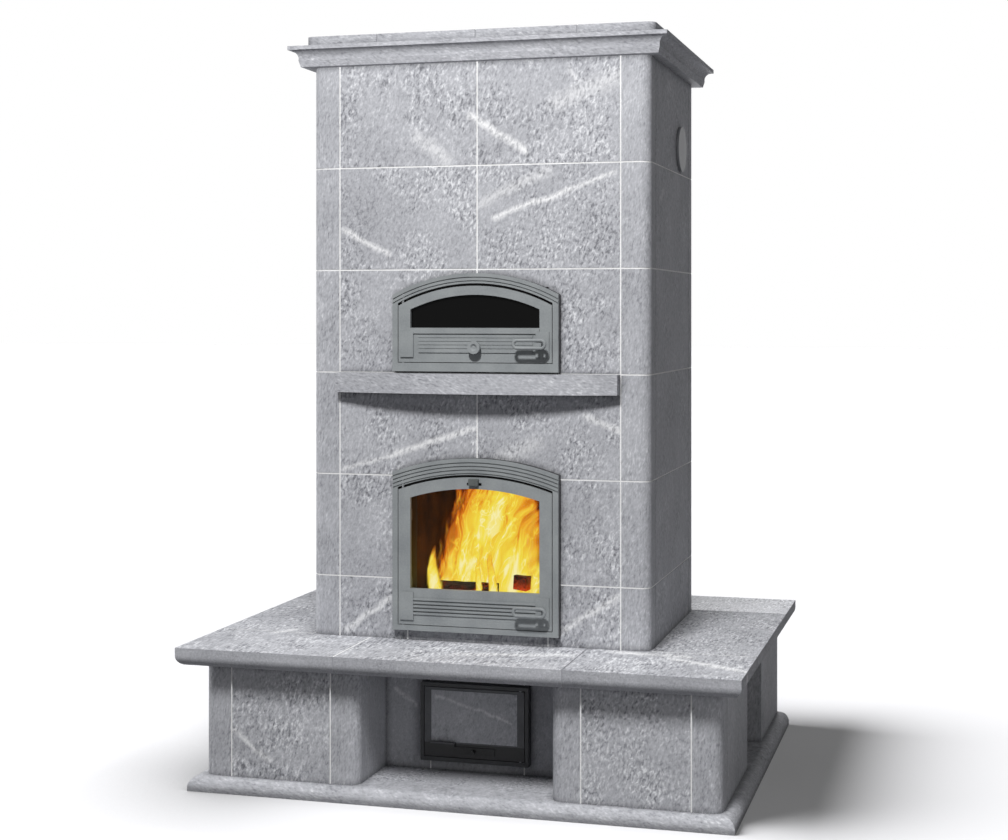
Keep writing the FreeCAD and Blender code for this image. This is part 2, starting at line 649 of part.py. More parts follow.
# Fire and oven core inside the shell: floor with the ash chute, grate, walls, oven floor and oven roof
core_half = f"({mouth_half} + core_wall)"
core_front = f"({shell_front} + core_set)"
firebox_back = f"({core_front} + firebox_deep)"
core_back = f"({firebox_back} + core_wall)"
hearth = f"({seat} + hearth_thick)"
hearth_levels = (seat, hearth)
core_x = (f"-{core_half}", core_half)
beside_hearth = ("chute_half", core_half)
parts["firebox_floor"] = group("firebox_floor", [
    box("hearth_ahead", core_x, (core_front, chute_front), hearth_levels),
    box("hearth_behind", core_x, (chute_back, core_back), hearth_levels),
    box("hearth_left", left_of(beside_hearth), chute_y, hearth_levels),
    box("hearth_right", beside_hearth, chute_y, hearth_levels),
])
grate_half = "(chute_half + grate_lap)"
grate_levels = (hearth, f"{hearth} + grate_thick")
grate_y = (f"{chute_front} - grate_lap", f"{chute_back} + grate_lap")
grate_plate = box("grate_plate", (f"-{grate_half}", grate_half), grate_y, grate_levels)
grate_slots = []
for count in range(-3, 4):
    slot_x = (f"{2 * count} * grate_slot - grate_slot / 2", f"{2 * count} * grate_slot + grate_slot / 2")
    grate_slots.append(box(f"grate_slot_{count + 3}", slot_x, chute_y, grate_levels))
parts["fire_grate"] = cut("fire_grate", grate_plate, *grate_slots)

oven_floor_top = f"({oven_mouth_low} - oven_clear)"
oven_floor_low = f"({oven_floor_top} - oven_floor_thick)"
oven_roof_low = f"({oven_mouth_high} + oven_clear)"
wall_x = (mouth_half, core_half)
firebox_levels = (hearth, oven_floor_low)
oven_levels = (oven_floor_top, oven_roof_low)
oven_wall_y = (core_front, f"{firebox_back} - oven_port")
parts["core_walls"] = group("core_walls", [
    box("firebox_wall_left", left_of(wall_x), (core_front, firebox_back), firebox_levels),
    box("firebox_wall_right", wall_x, (core_front, firebox_back), firebox_levels),
    box("oven_wall_left", left_of(wall_x), oven_wall_y, oven_levels),
    box("oven_wall_right", wall_x, oven_wall_y, oven_levels),
    box("core_back_wall", core_x, (firebox_back, core_back), (hearth, oven_roof_low)),
])
oven_floor_y = (core_front, f"{firebox_back} - throat")
parts["oven_floor"] = box("oven_floor", core_x, oven_floor_y, (oven_floor_low, oven_floor_top))
roof_levels = (oven_roof_low, f"{oven_roof_low} + oven_roof_thick")
parts["oven_roof"] = box("oven_roof", core_x, (core_front, core_back), roof_levels)

# Ash box on the floor of the ash chamber, open at the top
box_half = f"({chamber_half} - box_gap)"
box_y = (f"{panel_back} + box_gap", f"{panel_back} + box_gap + box_deep")
box_levels = (chamber_low, f"{chamber_low} + box_high")
ash_tray = box("ash_tray", (f"-{box_half}", box_half), box_y, box_levels)
tray_half = f"({box_half} - box_wall)"
tray_y = (f"{box_y[0]} + box_wall", f"{box_y[1]} - box_wall")
tray_levels = (f"{chamber_low} + box_wall", box_levels[1])
tray_hollow = box("tray_hollow", (f"-{tray_half}", tray_half), tray_y, tray_levels)
parts["ash_box"] = cut("ash_box", ash_tray, tray_hollow)

# Flue collar through the back wall and the cleaning cover with its plug in the right wall
flue_start = ("0", f"{shell_back} - flue_in", flue_height)
flue_long = "flue_in + shell_thick + flue_out"
flue_tube = rod("flue_tube", "y", flue_outside, flue_start, flue_long)
flue_bore = rod("flue_bore", "y", "flue_radius", flue_start, flue_long)
parts["flue_collar"] = cut("flue_collar", flue_tube, flue_bore)
disc_start = (f"{tower_half} + cover_gap", cover_y, cover_z)
cover_disc = rod("cover_disc", "x", "cover_radius", disc_start, "cover_proud")
plug_start = (f"({tower_half} - cover_plug_long)", cover_y, cover_z)
cover_plug = rod("cover_plug", "x", "cover_plug", plug_start, "cover_plug_long + cover_gap")
parts["cleaning_cover"] = fuse("cleaning_cover", cover_disc, cover_plug)

# Arched cast-iron doors: a frame with a sleeve into the wall, a leaf on pins, glass, seal, clips and handle
frame_plane = f"({front} - frame_proud)"
leaf_rear = f"({frame_plane} + leaf_thick)"
stop_plane = f"({leaf_rear} + stop_gap)"
leaf_half = f"({frame_half} - frame_border - leaf_gap)"
stop_half = f"({frame_half} - frame_border - stop_lap)"
window_half = f"({leaf_half} - window_rail)"
plate_start = f"({leaf_half} - plate_in - plate_wide)"
hinge_x = f"(-({leaf_half} - pin_in))"
hinge_y = f"({frame_plane} + leaf_thick / 2)"
pins = []


def arched(name, half, low, centre, radius, y):
    sheet_block = box(f"{name}_sheet", (f"-({half})", half), y, (low, f"{centre} + {radius}"))
    disc = rod(f"{name}_disc", "y", radius, ("0", y[0], centre), f"({y[1]}) - ({y[0]})")
    return common(name, sheet_block, disc)


def arc_groove(name, centre, radius):
    start = ("0", frame_plane, centre)
    outer = rod(f"{name}_outer", "y", radius, start, "groove_deep")
    inner = rod(f"{name}_inner", "y", f"{radius} - groove", start, "groove_deep")
    return cut(name, outer, inner)


def hinge_pins(name, x, y, low_end, high_end, high_long):
    holes = {"seat": [], "fit": []}
    for end, start, long in (("low", low_end, "pin_long"), ("high", high_end, high_long)):
        pins.append(rod(f"{name}_pin_{end}", "z", "pin_radius", (x, y, start), long))
        for fit in holes:
            radius = f"pin_radius + pin_{fit}"
            holes[fit].append(rod(f"{name}_pin_{fit}_{end}", "z", radius, (x, y, start), long))
    return holes


def arched_frame(kind, bottom, centre, radius, band, sill, grooves, holes):
    opening = f"({radius} - {band})"
    stop = f"({opening} - stop_arch)"
    stop_low = f"({bottom} + {sill} + sill_stop)"
    face = arched(f"{kind}_frame_face", frame_half, bottom, centre, radius, (frame_plane, front))
    sleeve = arched(f"{kind}_sleeve", f"{stop_half} + sleeve_wall", f"{stop_low} - sleeve_wall", centre,
                    f"({stop} + sleeve_wall)", (front, shell_front))
    leaf_hole = arched(f"{kind}_leaf_hole", f"{leaf_half} + leaf_gap", f"{bottom} + {sill}", centre, opening,
                       (frame_plane, stop_plane))
    stop_hole = arched(f"{kind}_stop_hole", stop_half, stop_low, centre, stop, (stop_plane, shell_front))
    cuts = [arc_groove(f"{kind}_groove_{i}", centre, f"({radius} - {i + 1} * groove_pitch)")
            for i in range(grooves)]
    return cut(f"{kind}_frame", fuse(f"{kind}_frame_cast", face, sleeve), leaf_hole, stop_hole, *cuts, *holes)


def handle_loop(name, bottom, up, plate_face):
    spindle_x = f"({leaf_half} - handle_in)"
    height = f"({bottom} + {up})"
    plane = f"({plate_face} - loop_stand)"
    bend = "(loop_high / 2 - loop_bar)"
    right_end = f"({spindle_x} + loop_shift)"
    left_end = f"({right_end} - loop_long + loop_high)"
    bits = []
    for end, x, turn in (("right", right_end, -90), ("left", left_end, 90)):
        curve = doc.addObject("Part::Torus", f"{name}_bend_{end}")
        curve.Angle3 = 180
        spin = FreeCAD.Rotation(FreeCAD.Vector(0, 0, 1), turn)
        curve.Placement.Rotation = turn_to["y"].multiply(spin)
        bind(curve, "Radius1", bend)
        bind(curve, "Radius2", "loop_bar")
        for letter, place in zip("xyz", (x, plane, height)):
            bind(curve, f"Placement.Base.{letter}", place)
        bits.append(curve)
    for place, z in (("upper", f"{height} + {bend}"), ("lower", f"{height} - {bend}")):
        bar_start = (left_end, plane, z)
        bits.append(rod(f"{name}_{place}_bar", "x", "loop_bar", bar_start, "loop_long - loop_high"))
    hub_face = f"({plate_face} - run_gap)"
    neck_radius = f"({bend} - loop_bar / 2)"
    bits.append(rod(f"{name}_neck", "y", neck_radius, (spindle_x, plane, height), f"{hub_face} - {plane}"))
    hub_start = f"({hub_face} - loop_bar)"
    bits.append(rod(f"{name}_hub", "y", "hub_radius", (spindle_x, hub_start, height), "loop_bar"))
    spindle_end = f"({leaf_rear} + run_gap + tongue_thick)"
    spindle = (spindle_x, hub_start, height)
    bits.append(rod(f"{name}_spindle", "y", "spindle_radius", spindle, f"{spindle_end} - {hub_start}"))
    tongue_x = (f"{spindle_x} - tongue_long", spindle_x)
    tongue_z = (f"{height} - tongue_wide / 2", f"{height} + tongue_wide / 2")
    bits.append(box(f"{name}_tongue", tongue_x, (f"{leaf_rear} + run_gap", spindle_end), tongue_z))
    hole_start = (spindle_x, f"{frame_plane} - plate_proud", height)
    hole = rod(f"{name}_hole", "y", "spindle_radius + pin_fit", hole_start, "plate_proud + leaf_thick")
    return fuse(name, *bits), hole


def arched_door(kind, bottom, centre, radius, grooves, clip_rises, extra_bits, extra_cuts):
    band = f"{kind}_band"
    sill = f"{kind}_sill"
    leaf_radius = f"({radius} - {band} - arch_gap)"
    leaf_low = f"({bottom} + {sill} + leaf_gap)"
    window_low = f"({bottom} + {kind}_window_low)"
    window_radius = f"({radius} - {band} - {kind}_window_drop)"
    leaf_y = (frame_plane, leaf_rear)
    top_at_pin = f"({centre} + ({leaf_radius}^2 - {hinge_x}^2)^0.5)"
    holes = hinge_pins(kind, hinge_x, hinge_y, f"({bottom} + {sill} + leaf_gap - pin_long / 2)",
                       f"({top_at_pin} - pin_long / 2)", "pin_long + 2 * arch_gap")
    parts[f"{kind}_frame"] = arched_frame(kind, bottom, centre, radius, band, sill, grooves, holes["seat"])

    blank = arched(f"{kind}_leaf_blank", leaf_half, leaf_low, centre, leaf_radius, leaf_y)
    window = arched(f"{kind}_window", window_half, window_low, centre, window_radius, leaf_y)
    plate_x = (plate_start, f"{leaf_half} - plate_in")
    plate_y = (f"{frame_plane} - plate_proud", frame_plane)
    plate_z = (f"{bottom} + {kind}_plate_low", f"{bottom} + {kind}_plate_low + {kind}_plate_high")
    plates = [box(f"{kind}_plate_left", left_of(plate_x), plate_y, plate_z),
              box(f"{kind}_plate_right", plate_x, plate_y, plate_z)]
    handle, spindle_hole = handle_loop(f"{kind}_handle", bottom, f"{kind}_handle_up", plate_y[0])
    solid = fuse(f"{kind}_leaf_cast", blank, *plates, *extra_bits)
    parts[f"{kind}_leaf"] = cut(f"{kind}_leaf", solid, window, spindle_hole, *holes["fit"], *extra_cuts)
    parts[f"{kind}_handle"] = handle

    glass_y = (leaf_rear, f"{leaf_rear} + glass_thick")
    glass_half = f"({window_half} + glass_lap)"
    parts[f"{kind}_glass"] = arched(f"{kind}_glass", glass_half, f"{window_low} - glass_lap", centre,
                                    f"({window_radius} + glass_lap)", glass_y)
    seal_y = (leaf_rear, f"{stop_plane} - seal_squeeze")
    seal_half = f"({leaf_half} - seal_in)"
    seal_low = f"({leaf_low} + seal_foot)"
    seal_radius = f"({leaf_radius} - seal_arch_in)"
    seal_block = arched(f"{kind}_seal_block", seal_half, seal_low, centre, seal_radius, seal_y)
    seal_hole = arched(f"{kind}_seal_hole", f"{seal_half} - seal_wide", f"{seal_low} + seal_wide", centre,
                       f"({seal_radius} - seal_wide)", seal_y)
    parts[f"{kind}_seal"] = cut(f"{kind}_seal", seal_block, seal_hole)

    clips = []
    clip_back = f"({leaf_rear} + glass_thick + clip_thick)"
    clip_x = (window_half, f"{glass_half} + glass_lap + clip_thick")
    foot_x = (glass_half, clip_x[1])
    for height, rise in enumerate(clip_rises):
        levels = (f"{window_low} + {rise}", f"{window_low} + {rise} + clip_wide")
        for side, flip in sides:
            name = f"{kind}_clip_{side}_{height}"
            tongue = box(f"{name}_tongue", flip(clip_x), (glass_y[1], clip_back), levels)
            foot = box(f"{name}_foot", flip(foot_x), (leaf_rear, glass_y[1]), levels)
            clips.append(fuse(name, tongue, foot))
    parts[f"{kind}_clips"] = group(f"{kind}_clips", clips)


# Fire door: ribs below the window, and an air tab that slides in a slot in the top rail
rib_y = (f"{frame_plane} - rib_proud", frame_plane)
rib_x = (f"-{window_half}", window_half)
fire_ribs = []
for count in range(5):
    rib_low = f"({fire_bottom} + fire_rib_low + {count} * rib_pitch)"
    fire_ribs.append(box(f"fire_rib_{count}", rib_x, rib_y, (rib_low, f"{rib_low} + rib_high")))
tab_centre = f"({fire_centre} + {fire_radius} - fire_band - fire_window_drop + glass_lap + tab_up)"
tab_slot_half = "(tab_stem + tab_travel + run_gap)"
tab_slot_z = (f"{tab_centre} - tab_slot / 2", f"{tab_centre} + tab_slot / 2")
tab_slot = box("tab_slot", (f"-{tab_slot_half}", tab_slot_half), (frame_plane, leaf_rear), tab_slot_z)
arched_door("fire", fire_bottom, fire_centre, fire_radius, 4, ("0", "fire_clip_rise"), fire_ribs, [tab_slot])
tab_face = f"({frame_plane} - run_gap)"
stem_half = "(tab_slot / 2 - run_gap)"
tab_low = f"({tab_centre} - {stem_half})"
tab_stem_z = (tab_low, f"{tab_centre} + {stem_half}")
tab_stem = box("tab_stem", ("-tab_stem", "tab_stem"), (tab_face, leaf_rear), tab_stem_z)
tab_x = ("-tab_wide / 2", "tab_wide / 2")
tab_head = box("tab_head", tab_x, (f"{tab_face} - tab_proud", tab_face), (tab_low, f"{tab_low} + tab_high"))
parts["fire_tab"] = fuse("fire_tab", tab_head, tab_stem)

# Oven door: a rail under the window, and a ribbed air slide with a dished knob
rail_low = f"({oven_bottom} + oven_rail_low)"
oven_rail = box("oven_rail", rib_x, rib_y, (rail_low, f"{rail_low} + oven_rail_high"))
slide_z_low = f"({oven_bottom} + slide_low)"
knob_z = f"({slide_z_low} + knob_up)"
slide_slot_x = ("knob_at - knob_neck - run_gap - slide_travel", "knob_at + knob_neck + run_gap")
slide_slot_z = (f"{knob_z} - slide_slot / 2", f"{knob_z} + slide_slot / 2")
slide_slot = box("slide_slot", slide_slot_x, (frame_plane, leaf_rear), slide_slot_z)
arched_door("oven", oven_bottom, oven_centre, oven_radius, 2, ("0",), [oven_rail], [slide_slot])
slide_face = f"({frame_plane} - run_gap)"
slide_plane = f"({slide_face} - slide_thick)"
slide_x = (f"-({plate_start} - slide_travel - slide_stop)", f"{plate_start} - slide_clear")
slide_z = (slide_z_low, f"{slide_z_low} + slide_high")
slide_plate = box("slide_plate", slide_x, (slide_plane, slide_face), slide_z)
slide_grooves = []
for count in range(4):
    groove_low = f"({slide_z_low} + slide_first + {count} * rib_pitch)"
    groove_y = (slide_plane, f"{slide_plane} + slide_groove")
    groove_z = (groove_low, f"{groove_low} + groove")
    slide_grooves.append(box(f"slide_groove_{count}", slide_x, groove_y, groove_z))
slide_ribbed = cut("slide_ribbed", slide_plate, *slide_grooves)
knob_plane = f"({slide_plane} - knob_proud)"
knob_start = ("knob_at", knob_plane, knob_z)
knob_neck = rod("knob_neck", "y", "knob_neck", knob_start, f"{slide_face} - {knob_plane}")
knob_disc = rod("knob_disc", "y", "knob_radius", knob_start, "knob_disc")
knob_dish = doc.addObject("Part::Cone", "knob_dish")
knob_dish.Placement.Rotation = turn_to["y"]
for prop, formula in (
    ("Radius1", "knob_dish"), ("Radius2", "knob_dish / 2"), ("Height", "knob_disc / 2"),
    ("Placement.Base.x", "knob_at"), ("Placement.Base.y", knob_plane), ("Placement.Base.z", knob_z),
):
    bind(knob_dish, prop, formula)
stem_z = (f"{knob_z} - slide_slot / 2 + run_gap", f"{knob_z} + slide_slot / 2 - run_gap")
stem_x = ("knob_at - knob_neck", "knob_at + knob_neck")
slide_stem = box("slide_stem", stem_x, (slide_face, leaf_rear), stem_z)
slide_solid = fuse("slide_solid", slide_ribbed, knob_neck, knob_disc, slide_stem)
parts["oven_slide"] = cut("oven_slide", slide_solid, knob_dish)

# Ash door in the front niche: dark frame, leaf hinged at the right, stone inlay, thumb lip and air vent
ash_plane = f"({front} - ash_proud)"
ash_rear = f"({ash_plane} + leaf_thick)"
ash_stop_plane = f"({ash_rear} + stop_gap)"
ash_hole_half = "(ash_half - ash_border)"
ash_leaf_half = f"({ash_hole_half} - leaf_gap)"
ash_leaf_z = (f"({ash_bottom} + ash_ledge + leaf_gap)", f"({ash_top} - ash_border - leaf_gap)")
ash_face = box("ash_frame_face", ("-ash_half", "ash_half"), (ash_plane, front), (ash_bottom, ash_top))
ash_leaf_hole = box("ash_leaf_hole", (f"-{ash_hole_half}", ash_hole_half), (ash_plane, ash_stop_plane),
                    (f"{ash_bottom} + ash_ledge", f"{ash_top} - ash_border"))
ash_stop_hole = box("ash_stop_hole", chamber_span, (ash_stop_plane, front), (chamber_low, chamber_high))
ash_pin_x = f"({ash_leaf_half} - pin_in)"
ash_pin_y = f"({ash_plane} + leaf_thick / 2)"
ash_holes = hinge_pins("ash", ash_pin_x, ash_pin_y, f"({ash_leaf_z[0]} - pin_long / 2)",
                       f"({ash_leaf_z[1]} - pin_long / 2)", "(pin_long / 2 + leaf_gap + ash_pin_bite)")
parts["ash_frame"] = cut("ash_frame", ash_face, ash_leaf_hole, ash_stop_hole, *ash_holes["seat"])
ash_blank = box("ash_blank", (f"-{ash_leaf_half}", ash_leaf_half), (ash_plane, ash_rear), ash_leaf_z)
inlay_half = f"({ash_leaf_half} - ash_inlay_in)"
inlay_z = (f"{ash_leaf_z[0]} + ash_inlay_low", f"{ash_leaf_z[1]} - ash_inlay_top")
inlay_x = (f"-{inlay_half}", inlay_half)
inlay_y = (ash_plane, f"{ash_plane} + ash_inlay_deep")
lip_x = (f"-{inlay_half}", f"-{inlay_half} + ash_tab_long")
lip_y = (f"{ash_plane} - ash_tab_proud", ash_plane)
ash_lip = box("ash_lip", lip_x, lip_y, (f"{inlay_z[0]} - ash_tab_high", inlay_z[0]))
vent_z_low = f"({ash_leaf_z[0]} + vent_low)"
vent_mid = f"({vent_z_low} + vent_high / 2)"
vent_slot_x = ("-vent_knob - run_gap", "vent_knob + run_gap + vent_travel")
vent_slot_z = (f"{vent_mid} - vent_slot / 2", f"{vent_mid} + vent_slot / 2")
vent_slot = box("vent_slot", vent_slot_x, (ash_plane, ash_rear), vent_slot_z)
inlay_pocket = box("inlay_pocket", inlay_x, inlay_y, inlay_z)
ash_solid = fuse("ash_leaf_solid", ash_blank, ash_lip)
parts["ash_leaf"] = cut("ash_leaf", ash_solid, inlay_pocket, vent_slot, *ash_holes["fit"])
parts["ash_inlay"] = box("ash_inlay", inlay_x, inlay_y, inlay_z)
vent_face = f"({ash_plane} - run_gap)"
vent_plane = f"({vent_face} - vent_thick)"
vent_z = (vent_z_low, f"{vent_z_low} + vent_high")
vent_plate = box("vent_plate", ("-vent_half", "vent_half"), (vent_plane, vent_face), vent_z)
vent_knob_start = ("0", f"{vent_plane} - vent_knob_proud", vent_mid)
vent_knob = rod("vent_knob", "y", "vent_knob", vent_knob_start, "vent_knob_proud")
vent_stem_z = (f"{vent_mid} - vent_slot / 2 + run_gap", f"{vent_mid} + vent_slot / 2 - run_gap")
vent_stem = box("vent_stem", ("-vent_knob", "vent_knob"), (vent_face, ash_rear), vent_stem_z)
parts["ash_vent"] = fuse("ash_vent", vent_plate, vent_knob, vent_stem)
parts["hinge_pins"] = group("hinge_pins", pins)

doc.recompute()
for thing in doc.Objects:
    if "Invalid" in thing.State or "Error" in thing.State:
        raise RuntimeError(f"{thing.Label} failed: {thing.State}")
for label, piece in parts.items():
    piece.Label = label
    if piece.Shape.isNull() or not piece.Shape.isValid():
        raise RuntimeError(f"{label} has no sound shape")
os.makedirs("parts", exist_ok=True)
for label, piece in parts.items():
    piece.Shape.exportStep(f"parts/{label}.step")
    print(label, len(piece.Shape.Solids), round(piece.Shape.Volume / 1e6, 3))
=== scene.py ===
import json
import math
import random
import bpy
import bmesh
from mathutils import Matrix, Vector

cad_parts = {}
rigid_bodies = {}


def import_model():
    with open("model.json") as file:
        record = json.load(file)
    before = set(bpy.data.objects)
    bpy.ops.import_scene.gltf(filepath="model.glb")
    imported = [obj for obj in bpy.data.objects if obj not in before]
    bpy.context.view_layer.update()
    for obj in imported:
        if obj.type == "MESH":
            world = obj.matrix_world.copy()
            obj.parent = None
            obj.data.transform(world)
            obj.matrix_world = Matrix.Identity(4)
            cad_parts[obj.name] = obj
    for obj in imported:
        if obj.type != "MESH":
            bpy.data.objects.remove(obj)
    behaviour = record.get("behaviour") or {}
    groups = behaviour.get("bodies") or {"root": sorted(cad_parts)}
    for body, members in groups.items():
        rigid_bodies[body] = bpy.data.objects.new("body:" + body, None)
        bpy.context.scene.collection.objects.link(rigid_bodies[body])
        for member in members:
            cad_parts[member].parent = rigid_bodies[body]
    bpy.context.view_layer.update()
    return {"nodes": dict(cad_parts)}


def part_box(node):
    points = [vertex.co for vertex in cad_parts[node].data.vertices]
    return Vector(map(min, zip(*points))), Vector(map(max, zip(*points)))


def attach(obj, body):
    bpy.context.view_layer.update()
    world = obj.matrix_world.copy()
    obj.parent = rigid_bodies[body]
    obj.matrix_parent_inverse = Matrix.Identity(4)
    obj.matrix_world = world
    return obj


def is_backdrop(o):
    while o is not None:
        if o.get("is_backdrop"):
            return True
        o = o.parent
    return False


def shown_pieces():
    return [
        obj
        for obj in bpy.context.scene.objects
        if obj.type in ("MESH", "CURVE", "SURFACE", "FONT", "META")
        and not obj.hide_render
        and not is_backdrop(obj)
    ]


for leftover in list(bpy.data.objects):  # the startup cube, lamp and camera
    bpy.data.objects.remove(leftover)
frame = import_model()
nodes = frame["nodes"]
mmInM = 1000  # a pattern's scale is this over its size in mm
noiseMean = 0.5  # the middle of a noise pattern
print("frame loaded,", len(nodes), "pieces")


def tone(hexCode):  # sRGB hex to linear
    shares = [int(hexCode[i:i + 2], 16) / 255 for i in (1, 3, 5)]
    return (*[s / 12.92 if s <= 0.04045 else ((s + 0.055) / 1.055) ** 2.4 for s in shares], 1.0)


def graded(tones):  # a ramp's stops from the place and the colour of each tone, the two ends first
    return [(place, tone(colour)) for place, colour in tones.values()]


# Adds one node with its settings and links. A Mix has its share at socket 0 and its colours at 6 and 7.
def put(tree, kind, inputs=None, stops=None, **settings):
    node = tree.nodes.new("ShaderNode" + kind)
    for name, value in settings.items():
        setattr(node, name, value)
    for socket, value in (inputs or {}).items():
        if isinstance(value, bpy.types.Node):
            value = next(out for out in value.outputs if out.enabled)
        if isinstance(value, bpy.types.NodeSocket):
            tree.links.new(value, node.inputs[socket])
        else:
            node.inputs[socket].default_value = value
    for i, (place, colour) in enumerate(stops or []):
        points = node.color_ramp.elements
        point = points[i] if i < 2 else points.new(place)  # a new ramp has two points
        point.position = place
        point.color = colour if isinstance(colour, tuple) else (colour, colour, colour, 1)
    return node


def newFinish(name):
    finish = bpy.data.materials.new(name)
    finish.use_nodes = True
    finish.node_tree.nodes.clear()
    return finish, finish.node_tree


def close(tree, shader):
    put(tree, "OutputMaterial", {"Surface": shader})


def wear(finish, names):
    for name in names:
        nodes[name].data.materials.clear()
        nodes[name].data.materials.append(finish)


# Soapstone: a soft grey stone with a violet cast, sawn into slabs and honed matt.
# Honed faces show small dark and pale flecks that lean one way and white talc veins, sawn ones long grain.
stoneTones = {"dark": (0.24, "#77787D"), "pale": (0.78, "#E0E1E4"), "deep": (0.43, "#A5A6AB"),
              "body": (0.58, "#B9BABF")}
stoneMarks = {"vein": "#EEEEEF", "soot": "#100D0A"}
stoneCut = {  # what all the stones share
    "lots": 97.0, "quarry": 9.0,  # spread of the random lots, and the quarry's width in m
    "patchFrom": 0.40, "patchTo": 0.62,  # noise over which the flecks gather
    "edgeFrom": 0.75, "edgeTo": 0.97,  # how level a face is, from a rubbed edge to the flat
    "wanderMm": 60, "wander": 0.03, "wave": 0.09,  # size of the bends in a vein, and how far they go in m
    "strayPitch": 0.5, "strayWide": 0.014, "slope": 0.55, "oneWay": 0.5,  # veins at no known place
    "fadeMm": 150, "fadeFrom": 0.5, "fadeTo": 0.68,
    "featherFrom": 0.34, "featherTo": 0.55, "featherLeast": 0.35,
    "shut": 0.35, "open": 0.9, "paintedShadeFade": 0.06,  # open sky over a nook and over a face
    "matt": 0.6, "mattSpread": 0.15,
}
courseHigh = 0.290
firstBed = 0.571
towerMiddle = 0.0175  # in Y
seatSplit = 0.315  # in X, to either side
farOff = 10.0  # more than the heater's size: as a pitch it keeps one stone, as a place it is never reached
farStart = -farOff / 2
halves = 2.0  # a pitch with which the stone changes only at the corner given


def cutFromQuarry(tree, look, place):  # each stone is cut from another part of the quarry
    fromCorner = put(tree, "VectorMath", {0: place, 1: look["corner"]}, operation="SUBTRACT")
    stones = put(tree, "VectorMath", {0: fromCorner, 1: look["pitch"]}, operation="DIVIDE")
    stone = put(tree, "VectorMath", {0: stones}, operation="FLOOR")
    own = put(tree, "ObjectInfo").outputs["Random"]
    own = put(tree, "Math", {0: own, 1: stoneCut["lots"]}, operation="MULTIPLY")
    lot = put(tree, "TexWhiteNoise", {"Vector": stone, "W": own}, noise_dimensions="4D")
    shift = Vector((1, 1, 1)) * stoneCut["quarry"]
    moved = put(tree, "VectorMath", {0: lot.outputs["Color"], 1: shift, 2: place}, operation="MULTIPLY_ADD")
    return lot, moved


def stoneBody(tree, look, moved):  # gives the colour, the flecks and how high they stand
    tilted = put(tree, "Mapping", {"Vector": moved, "Rotation": (0, look["lean"], 0)}, vector_type="POINT")
    stretched = put(tree, "VectorMath", {0: tilted, 1: look["stretch"]}, operation="MULTIPLY")
    along = put(tree, "VectorMath", {0: moved, 1: look["grain"]}, operation="MULTIPLY")
    clouds = put(tree, "TexNoise", {"Vector": moved, "Scale": mmInM / look["cloudMm"], "Detail": 3.0})
    patches = put(tree, "TexNoise", {"Vector": moved, "Scale": mmInM / look["patchMm"], "Detail": 2.0})
    flecks = put(tree, "TexNoise", {"Vector": stretched, "Scale": mmInM / look["fleckMm"], "Detail": 2.0,
                                    "Roughness": 0.55, "Distortion": 0.5})
    grain = put(tree, "TexNoise", {"Vector": along, "Scale": mmInM / look["grainMm"], "Detail": 3.0,
                                   "Roughness": 0.65})
    specks = put(tree, "TexNoise", {"Vector": stretched, "Scale": mmInM / look["speckMm"], "Detail": 1.0})
    # flecks gather in patches, the stone is quiet between them, and a rubbed edge shows few
    gather = put(tree, "MapRange", {"Value": patches, "From Min": stoneCut["patchFrom"],
                                    "From Max": stoneCut["patchTo"], "To Min": look["quiet"],
                                    "To Max": look["flecks"]})
    level = put(tree, "SeparateXYZ", {"Vector": put(tree, "NewGeometry").outputs["Normal"]}).outputs["Z"]
    rubbed = put(tree, "MapRange", {"Value": level, "From Min": stoneCut["edgeFrom"],
                                    "From Max": stoneCut["edgeTo"], "To Min": look["edgeFlecks"],
                                    "To Max": 1.0})
    gather = put(tree, "Math", {0: gather, 1: rubbed}, operation="MULTIPLY")
    heights = [noiseMean]
    for pattern, share in ((flecks, gather), (clouds, look["clouds"]), (grain, look["grainShare"]),
                           (specks, look["specks"])):  # each adds its share to those before it
        swing = put(tree, "Math", {0: pattern, 1: -noiseMean}, operation="ADD")
        heights.append(put(tree, "Math", {0: swing, 1: share, 2: heights[-1]}, operation="MULTIPLY_ADD"))
    colour = put(tree, "ValToRGB", {"Fac": heights[-1]}, stops=graded(stoneTones))
    return colour, flecks, heights[1]


def onPlane(point, plane):  # the point holds X and Y on a level face, X and Z on an upright one
    return Vector((point[0], point[1], 0)) if plane[1] else Vector((point[0], 0, point[1]))


